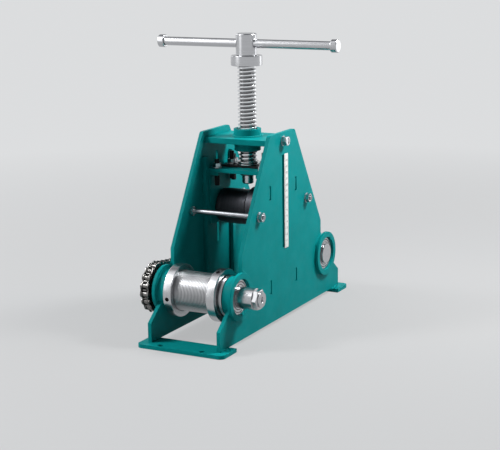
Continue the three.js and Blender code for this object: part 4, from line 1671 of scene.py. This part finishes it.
@dataclass
class ShaftSet:
    """A shaft with its drum, set collars and sprocket."""

    finishes: Finishes
    end: End
    drum_radius: float = 31.0
    drum_end: float = 49.0
    drum_pitch: float = 2.5
    drum_depth: float = 0.9
    crest_share: float = 0.36
    flank_share: float = 0.26
    drum_steps: int = 96
    lip_width: float = 4.6
    neck_width: float = 2.2
    neck_depth: float = 1.2
    neck_overlap: float = 1.0
    edge: float = 0.6
    collar_radius: float = 41.0
    collar_width: float = 14.0
    collar_edge: float = 1.2
    near_collar: float = -35.4
    far_collar: float = 39.4
    near_screw_angle: float = 109.0
    far_screw_angle: float = 188.0
    set_screw_radius: float = 3.4
    set_screw_play: float = 0.15
    set_screw: Point = (34.0, 38.6)
    set_screw_edge: float = 0.2
    set_screw_hole: Point = (35.5, 46.0)
    set_screw_steps: int = 32
    socket_radius: float = 2.3
    socket_height: float = 6.0
    socket_floor: float = 36.4
    coupling_radius: float = 16.6
    coupling_end: float = 94.3
    coupling_overlap: Point = (2.0, 1.8)
    hexagon: float = 6.0
    hexagon_mouth: Point = (11.9, 0.4)
    spigot_radius: float = 11.5
    spigot: float = 3.0
    centre_hole: Point = (3.9, 8.0)
    centre_mouth: Point = (4.9, 1.4)
    head_radius: float = 16.8
    head: float = 3.5
    head_edge: float = 0.7
    tip_radius: float = 37.6
    tip_half_width: float = 1.2
    seat_radius: float = 4.45
    seat_half_angle: float = 62.0
    seat_points: int = 7
    tooth: Point = (77.175, 84.325)
    tooth_edge: float = 0.7
    bore_steps: int = 64
    hub_start: float = 68.8
    hub_overlap: float = 0.5
    hub_radius: float = 24.0
    spacer_radius: float = 18.5

    @property
    def body(self) -> str:
        """The body that this set rides on."""
        return f"{self.end.label}_shaft"

    @property
    def line(self) -> tuple[float, float, float]:
        """A point on the shaft's line."""
        return LAYOUT.shaft(self.end)

    @property
    def steel(self) -> bpy.types.Material:
        """Steel turned about this shaft's line."""
        return self.finishes.shaft_steel[self.end]

    def build(self) -> None:
        """Builds every piece that turns with the shaft."""
        self.shaft()
        self.drum()
        self.collar(Side.NEAR, self.near_collar, self.near_screw_angle)
        self.collar(Side.FAR, self.far_collar, self.far_screw_angle)
        self.sprocket()

    def lathe(self, profile: Sequence[Point], ease: float = 0.0) -> BMesh:
        """Turns a profile about the shaft's line."""
        return turned(profile, Axis.ACROSS, self.line, ease)

    def shaft(self) -> None:
        """Builds the shaft: with the drive coupling at the front, or a plain head at the rear."""
        shoulder, radius = -LAYOUT.shoulder, LAYOUT.shaft_radius
        tail = [(radius, shoulder), (radius, LAYOUT.shaft_end), (0, LAYOUT.shaft_end)]
        if self.end is End.REAR:
            head = shoulder - self.head
            profile = [(0, head), (self.head_radius, head), (self.head_radius, shoulder)] + tail
            mesh = self.lathe(profile, self.head_edge)
        else:
            mesh = self.coupling(tail)
        node = f"shaft_{self.end.label}"
        finish(mesh, f"{self.body}_bar", self.body, self.steel, [node])

    def coupling(self, tail: list[Point]) -> BMesh:
        """Builds the front shaft with its round coupling, hexagon, spigot and centre hole.

        Args:
            tail: The profile from the shoulder to the far end.

        Returns:
            The closed mesh.
        """
        x, _, z = self.line
        start = -self.coupling_end
        tip = start - self.hexagon - self.spigot
        (hole, depth), (mouth, slope) = self.centre_hole, self.centre_mouth
        inside, seat = self.coupling_overlap
        core = [
            (0, tip + depth), (hole, tip + depth), (hole, tip + slope), (mouth, tip),
            (self.spigot_radius, tip), (self.spigot_radius, start + inside),
            (self.coupling_radius, start + inside), (self.coupling_radius, -LAYOUT.shoulder),
        ]
        nut = Hexagon(self.coupling_radius, self.hexagon + seat, self.hexagon_mouth)
        return together(
            self.lathe(core + tail, self.edge), nut.build(Axis.ACROSS, (x, start + seat, z), -1),
        )

    def drum(self) -> None:
        """Builds the drum: fine grooves, with a plain lip beyond a narrow neck on the near side."""
        bore, over = LAYOUT.shaft_bore, self.neck_overlap
        lip_end = -self.drum_end + self.lip_width
        start = lip_end + self.neck_width
        root = self.drum_radius - self.drum_depth
        grooves = threaded(
            self.drum_radius, root, self.drum_pitch, (start, self.drum_end), Axis.ACROSS, self.line,
            self.crest_share, self.flank_share, self.drum_steps,
        )
        lip = self.lathe(ring(self.drum_radius, bore, -self.drum_end, lip_end), self.edge)
        neck = self.lathe(ring(root - self.neck_depth, bore, lip_end - over, start + over))
        mesh = together(grooves, lip, neck)
        # The drum's steel darkens in the groove roots and the neck as painted shade.
        steel, label = self.finishes.drum_steel[self.end], self.end.label
        finish(mesh, f"{label}_drum", self.body, steel, [f"drum_{label}"])

    def collar(self, side: Side, middle: float, angle: float) -> None:
        """Builds a set collar with its screw sunk in the rim.

        Args:
            side: The side of the machine that the collar is on.
            middle: Its middle along the shaft.
            angle: The direction of its screw, in degrees up from the rear.
        """
        up, origin, half = Axis.UPRIGHT, (0, 0, 0), self.collar_width / 2
        bore, radius = self.drum_radius + LAYOUT.clearance, self.set_screw_radius
        rim = ring(self.collar_radius, bore, middle - half, middle + half)
        blank = self.lathe(rim, self.collar_edge)
        turn = Matrix.Rotation(math.pi / 2 - math.radians(angle), 4, "Y")
        placing = Matrix.Translation(Vector((self.line[0], middle, self.line[2]))) @ turn
        drill = turned(rod(radius, *self.set_screw_hole), up, origin, 0.0, self.set_screw_steps)
        node = f"collar_{self.end.label}_{side.label}"
        name = f"{self.end.label}_{side.label}_collar"
        collar = drilled(blank, moved(drill, placing))
        finish(collar, name, self.body, self.steel, [node])
        socket = Hexagon(self.socket_radius, self.socket_height).build(up, (0, 0, self.socket_floor))
        shank = rod(radius - self.set_screw_play, *self.set_screw)
        plug = turned(shank, up, origin, self.set_screw_edge, self.set_screw_steps)
        screw = moved(drilled(plug, socket), placing)
        finish(screw, f"{name}_screw", self.body, self.finishes.black_steel)

    def sprocket(self) -> None:
        """Builds the toothed plate and its hub."""
        step = math.tau / LAYOUT.teeth
        tip = self.tip_half_width / self.tip_radius
        mesh = bmesh.new()
        points = [self.polar(self.tip_radius, -step / 2 + tip)]
        for index in range(self.seat_points):
            swing = math.radians(self.seat_half_angle) * (2 * index / (self.seat_points - 1) - 1)
            inward = Vector((LAYOUT.pitch_radius, 0, 0))
            points.append(inward + Vector((-math.cos(swing), math.sin(swing), 0)) * self.seat_radius)
        points += [self.polar(self.tip_radius, step / 2 + turn) for turn in (-tip, tip)]
        corners = [mesh.verts.new(point) for point in points]
        edges = [mesh.edges.new(pair) for pair in zip(corners, corners[1:])]
        bmesh.ops.spin(
            mesh, geom=corners + edges, cent=(0, 0, 0), axis=(0, 0, 1), angle=math.tau,
            steps=LAYOUT.teeth, use_duplicate=True,
        )
        bmesh.ops.remove_doubles(mesh, verts=mesh.verts, dist=FLAT_MERGE)
        bmesh.ops.create_circle(
            mesh, cap_ends=False, radius=LAYOUT.shaft_bore, segments=self.bore_steps,
        )
        low, high = self.tooth
        ease_edges(thickened(filled(mesh), (0, 0, high - low)), self.tooth_edge, FLAT_EDGE_ANGLE)
        x, _, z = self.line
        first = Matrix.Rotation(self.end.value * math.pi / 2, 4, "Z")
        placing = Matrix.Translation((x, high, z)) @ Matrix.Rotation(math.pi / 2, 4, "X")
        moved(mesh, placing @ first)
        bore, start, stop = LAYOUT.shaft_bore, LAYOUT.shoulder, low + self.hub_overlap
        hub = [
            (bore, start), (self.spacer_radius, start), (self.spacer_radius, self.hub_start),
            (self.hub_radius, self.hub_start), (self.hub_radius, stop), (bore, stop), (bore, start),
        ]
        whole = together(mesh, self.lathe(hub, self.edge))
        steel, label = self.finishes.chain_steel, self.end.label
        finish(whole, f"{label}_sprocket", self.body, steel, [f"sprocket_{label}"])

    @staticmethod
    def polar(radius: float, angle: float) -> Vector:
        """A point in a level plane."""
        return Vector((radius * math.cos(angle), radius * math.sin(angle), 0))


@dataclass
class Chain:
    """The roller chain: 66 links of two plates, with their rollers and pins.

    Its upper run sags, and its lower run is straight.
    """

    finishes: Finishes
    pitch: float = 12.7
    links: int = 66
    plate_height: float = 11.8
    plate_edge: float = 0.3
    plate_edge_angle: float = 60.0
    waist: float = 8.4
    round_angles: tuple[float, ...] = (112, 84, 56, 28, 0)
    inner_plate: Point = (3.875, 5.375)
    outer_plate: Point = (5.6, 7.1)
    roller_radius: float = 4.255
    roller_end: float = 3.775
    roller_steps: int = 20
    pin_radius: float = 2.2
    pin_end: float = 7.9
    pin_steps: int = 12
    sag: float = 12.0
    sag_steps: int = 40

    def build(self) -> None:
        """Builds the links round the loop."""
        joints = self.joints()
        names = ("inner_links", "outer_links", "chain_rollers", "chain_pins")
        inners, outers, rollers, pins = meshes = [bmesh.new() for _ in names]
        for index, here in enumerate(joints):
            ahead = joints[(index + 1) % len(joints)]
            if index % 2:
                self.link(outers, here, ahead, self.outer_plate)
            else:
                self.link(inners, here, ahead, self.inner_plate)
            self.round(rollers, here, self.roller_radius, self.roller_end, self.roller_steps)
            self.round(pins, here, self.pin_radius, self.pin_end, self.pin_steps)
        for mesh, name in zip(meshes, names):
            bmesh.ops.recalc_face_normals(mesh, faces=mesh.faces)
            finish(mesh, name, "frame", self.finishes.chain_steel, ["drive_chain"])

    def joints(self) -> list[Vector]:
        """Finds the middles of the rollers, round the whole loop.

        Returns:
            The upper run, the rear, the lower run and the front, in that order.
        """
        count = (self.links - LAYOUT.teeth + 1) // 2
        low = LAYOUT.shaft_z - LAYOUT.pitch_radius
        straight_run = [
            Vector((LAYOUT.shaft_x - self.pitch * index, LAYOUT.chain_line, low))
            for index in range(count)
        ]
        return self.slack_run(count) + self.wrap(End.REAR) + straight_run + self.wrap(End.FRONT)

    @staticmethod
    def wrap(end: End) -> list[Vector]:
        """Finds the rollers' places round the outer half of a sprocket.

        Args:
            end: The end that the sprocket is at.

        Returns:
            The places, from the run that ends there.
        """
        places = []
        for index in range(1, (LAYOUT.teeth - 1) // 2 + 1):
            angle = math.tau / LAYOUT.teeth * index
            x = end.value * (LAYOUT.shaft_x + LAYOUT.pitch_radius * math.sin(angle))
            z = LAYOUT.shaft_z + end.value * LAYOUT.pitch_radius * math.cos(angle)
            places.append(Vector((x, LAYOUT.chain_line, z)))
        return places

    def slack_run(self, count: int) -> list[Vector]:
        """Finds the rollers' places on the upper run, which sags between the sprockets.

        Args:
            count: The number of places.

        Returns:
            The places, evenly along the run from the front.
        """
        half_step = math.pi / LAYOUT.teeth
        start = Vector((-LAYOUT.shaft_x, LAYOUT.chain_line, LAYOUT.shaft_z + LAYOUT.pitch_radius))
        across = 2 * LAYOUT.shaft_x + LAYOUT.pitch_radius * math.sin(half_step)
        fall = LAYOUT.pitch_radius * (1 - math.cos(half_step))
        fine = self.sag_steps * count
        curve = [
            start + Vector((across * t, 0, -fall * t - 4 * self.sag * t * (1 - t)))
            for t in (index / fine for index in range(fine + 1))
        ]
        lengths = [(after - before).length for before, after in zip(curve, curve[1:])]
        step, travelled, places = sum(lengths) / count, 0.0, [start]
        for point, length in zip(curve[1:], lengths):
            travelled += length
            if len(places) < count and travelled >= step * len(places):
                places.append(point)
        return places

    def link(self, mesh: BMesh, here: Vector, ahead: Vector, span: Point) -> None:
        """Adds the two plates of one link to a mesh.

        Args:
            mesh: The mesh to add to.
            here: The middle of the link's first roller.
            ahead: The middle of its last roller.
            span: The inner and outer face of a plate.
        """
        along = (ahead - here).normalized()
        turn = Matrix(((along.x, 0, along.z), (0, 1, 0), (along.z, 0, -along.x))).transposed()
        placing = Matrix.Translation((here + ahead) / 2) @ turn.to_4x4()
        outline = self.outline()
        for side in Side:
            low, high = (side.value * place for place in span)
            part = bmesh.new()
            part.faces.new([part.verts.new((x, low, z)) for x, z in outline])
            thickened(part, (0, high - low, 0))
            ease_edges(part, self.plate_edge, self.plate_edge_angle, 1)
            together(mesh, moved(part, placing))

    def outline(self) -> list[Point]:
        """Draws a link's plate: two round ends and a waist between them.

        Returns:
            The corners of its outline.
        """
        half, reach = self.pitch / 2, self.plate_height / 2
        end = [
            (half + reach * math.cos(math.radians(angle)), reach * math.sin(math.radians(angle)))
            for angle in self.round_angles
        ]
        right = [(0.0, self.waist / 2)] + end + [(x, -z) for x, z in end[-2::-1]]
        return right + [(-x, -z) for x, z in right]

    def round(self, mesh: BMesh, centre: Vector, radius: float, half: float, steps: int) -> None:
        """Adds a roller or a pin to a mesh."""
        together(mesh, turned(rod(radius, -half, half), Axis.ACROSS, centre, 0.0, steps))


# Studio


@dataclass(frozen=True)
class Lamp:
    """One soft lamp, with its place and size in metres."""

    name: str
    place: tuple[float, float, float]
    width: float
    height: float
    watts: float
    target: tuple[float, float, float] = (0.0, 0.0, 0.2)

    def build(self) -> None:
        """Hangs the lamp and turns it to its target."""
        data = bpy.data.lights.new(self.name, "AREA")
        data.shape, data.energy = "RECTANGLE", self.watts
        data.size, data.size_y = self.width, self.height
        lamp = bpy.data.objects.new(self.name, data)
        lamp.location = self.place
        aim = Vector(self.target) - Vector(self.place)
        lamp.rotation_euler = aim.to_track_quat("-Z", "Y").to_euler()
        lamp.visible_camera = False
        bpy.context.scene.collection.objects.link(lamp)


LAMPS = (
    Lamp("key_lamp", (0.33, -0.54, 0.9), 0.25, 0.25, 12.5),
    Lamp("left_lamp", (-1.4, 1.25, 0.95), 0.9, 1.5, 6.0),
    Lamp("edge_lamp", (-0.95, 1.35, 1.5), 0.5, 0.5, 32.0),
    Lamp("right_lamp", (1.15, -0.62, 0.38), 0.5, 0.7, 1.5),
    Lamp("back_lamp", (0.6, 1.8, 1.0), 1.2, 1.2, 8.0),
    Lamp("top_lamp", (-0.5, 1.05, 2.1), 1.4, 1.4, 5.5),
)


@dataclass
class Studio:
    """The camera at the photograph's place, the pale floor and the lamps.

    The floor glows pale to the eye, more so the farther it is from the machine, and so it meets the
    walls without a line. The lamps stand where the turned steel mirrors them as in the photograph.
    """

    eye: tuple[float, float, float] = (-1.9132, -1.0017, 0.6251)
    yaw: float = 1.08944
    pitch: float = -0.21614
    roll: float = -0.01306
    focal_pixels: float = 1366.48
    image_width: float = 500.0
    sensor: float = 36.0
    far_clip: float = 200.0
    floor_size: float = 60.0
    floor_gloss: float = 0.1
    floor_roughness: float = 0.8
    floor_cloud_scale: float = 1.5
    floor_tones: tuple[Colour, Colour] = ((0.33, 0.34, 0.35, 1), (0.35, 0.35, 0.35, 1))
    sky_tint: Colour = (0.95, 0.97, 1.0, 1)
    sky_strength: float = 0.14
    glow_near: float = 0.6
    glow_far: float = 0.96
    glow_reach: Point = (0.3, 1.8)
    wall_heights: Point = (0.05, 0.8)
    walls: Colour = (0.74, 0.75, 0.76, 1)
    ceiling: Colour = (0.22, 0.225, 0.24, 1)

    def build(self) -> None:
        """Sets up the whole studio."""
        settings = bpy.context.scene.view_settings
        settings.view_transform = "Standard"
        self.camera()
        self.floor()
        self.sky()
        for lamp in LAMPS:
            lamp.build()

    def camera(self) -> None:
        """Places the camera, with the lens that the photograph was fitted with."""
        ahead = Vector((
            math.sin(self.yaw) * math.cos(self.pitch), math.cos(self.yaw) * math.cos(self.pitch),
            math.sin(self.pitch),
        ))
        level = ahead.cross(Vector((0, 0, 1))).normalized()
        upward = level.cross(ahead)
        right = level * math.cos(self.roll) + upward * math.sin(self.roll)
        top = upward * math.cos(self.roll) - level * math.sin(self.roll)
        data = bpy.data.cameras.new("camera")
        data.sensor_fit, data.sensor_width = "HORIZONTAL", self.sensor
        data.lens = self.focal_pixels * self.sensor / self.image_width
        data.clip_end = self.far_clip
        camera = bpy.data.objects.new("camera", data)
        turn = Matrix((right, top, -ahead)).transposed().to_4x4()
        camera.matrix_world = Matrix.Translation(Vector(self.eye)) @ turn
        bpy.context.scene.collection.objects.link(camera)
        bpy.context.scene.camera = camera

    def floor(self) -> None:
        """Lays the pale floor."""
        mesh = bmesh.new()
        bmesh.ops.create_grid(mesh, x_segments=1, y_segments=1, size=self.floor_size / 2)
        data = bpy.data.meshes.new("floor")
        mesh.to_mesh(data)
        mesh.free()
        gloss, roughness = self.floor_gloss, self.floor_roughness
        shader = Shader("floor_white", Specular_IOR_Level=gloss, Roughness=roughness)
        tone = shader.noise(shader.place, self.floor_cloud_scale)
        shader.into("Base Color", shader.spread(tone, *self.floor_tones))
        reach = shader.add("VectorMath", {0: shader.place}, operation="LENGTH").outputs["Value"]
        share = shader.levels(reach, self.glow_near, self.glow_far, self.glow_reach)
        self.show_pale(shader.tree, shader.surface.outputs[0], share)
        data.materials.append(shader.material)
        floor = bpy.data.objects.new("floor", data)
        bpy.context.scene.collection.objects.link(floor)

    def sky(self) -> None:
        """Lights the room softly, and shows pale walls and a darker ceiling to the eye and gloss."""
        world = bpy.data.worlds.new("room")
        bpy.context.scene.world = world
        world.use_nodes = True
        tree = world.node_tree
        nodes, link = tree.nodes, tree.links.new
        soft = nodes["Background"]
        soft.inputs["Color"].default_value = self.sky_tint
        soft.inputs["Strength"].default_value = self.sky_strength
        direction = nodes.new("ShaderNodeTexCoord")
        parts = nodes.new("ShaderNodeSeparateXYZ")
        link(direction.outputs["Generated"], parts.inputs["Vector"])
        ramp = nodes.new("ShaderNodeValToRGB")
        tones = (self.walls, self.ceiling)
        for stop, height, colour in zip(ramp.color_ramp.elements, self.wall_heights, tones):
            stop.position, stop.color = height, colour
        link(parts.outputs["Z"], ramp.inputs["Fac"])
        shown = nodes.new("ShaderNodeBackground")
        link(ramp.outputs["Color"], shown.inputs["Color"])
        mix = nodes.new("ShaderNodeMixShader")
        link(self.seen(tree), mix.inputs[0])
        link(soft.outputs[0], mix.inputs[1])
        link(shown.outputs[0], mix.inputs[2])
        link(mix.outputs[0], nodes["World Output"].inputs["Surface"])

    @staticmethod
    def seen(tree: bpy.types.NodeTree) -> bpy.types.NodeSocket:
        """Tells whether a ray comes from the eye, or from gloss or glass.

        Args:
            tree: The nodes to add to.

        Returns:
            1 where it does, else 0.
        """
        path = tree.nodes.new("ShaderNodeLightPath")
        found = path.outputs["Is Camera Ray"]
        for kind in ("Is Glossy Ray", "Is Transmission Ray"):
            either = tree.nodes.new("ShaderNodeMath")
            either.operation = "MAXIMUM"
            tree.links.new(found, either.inputs[0])
            tree.links.new(path.outputs[kind], either.inputs[1])
            found = either.outputs["Value"]
        return found

    def show_pale(
        self, tree: bpy.types.NodeTree, lit: bpy.types.NodeSocket, share: bpy.types.NodeSocket,
    ) -> None:
        """Mixes a pale glow into a surface, for the eye and for gloss alone.

        Args:
            tree: The surface's nodes.
            lit: The surface as it is lit.
            share: The glow's share.
        """
        glow = tree.nodes.new("ShaderNodeEmission")
        glow.inputs["Color"].default_value = self.walls
        part = tree.nodes.new("ShaderNodeMath")
        part.operation = "MULTIPLY"
        tree.links.new(self.seen(tree), part.inputs[0])
        tree.links.new(share, part.inputs[1])
        mix = tree.nodes.new("ShaderNodeMixShader")
        tree.links.new(part.outputs["Value"], mix.inputs[0])
        tree.links.new(lit, mix.inputs[1])
        tree.links.new(glow.outputs[0], mix.inputs[2])
        tree.links.new(mix.outputs[0], tree.nodes["Material Output"].inputs["Surface"])


def main() -> None:
    """Builds the machine and its studio."""
    logging.basicConfig(level=logging.INFO, format="%(message)s")
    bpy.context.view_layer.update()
    Studio().build()
    finishes = Finishes()
    for part in (
        Plates(finishes), Bearings(finishes), Fasteners(finishes), ScrewNut(finishes),
        ScaleStrip(finishes), PressureScrew(finishes), HandleBar(finishes), Carriage(finishes),
        PressRoller(finishes), ShaftSet(finishes, End.FRONT), ShaftSet(finishes, End.REAR),
        Chain(finishes),
    ):
        part.build()


if __name__ == "__main__":
    main()
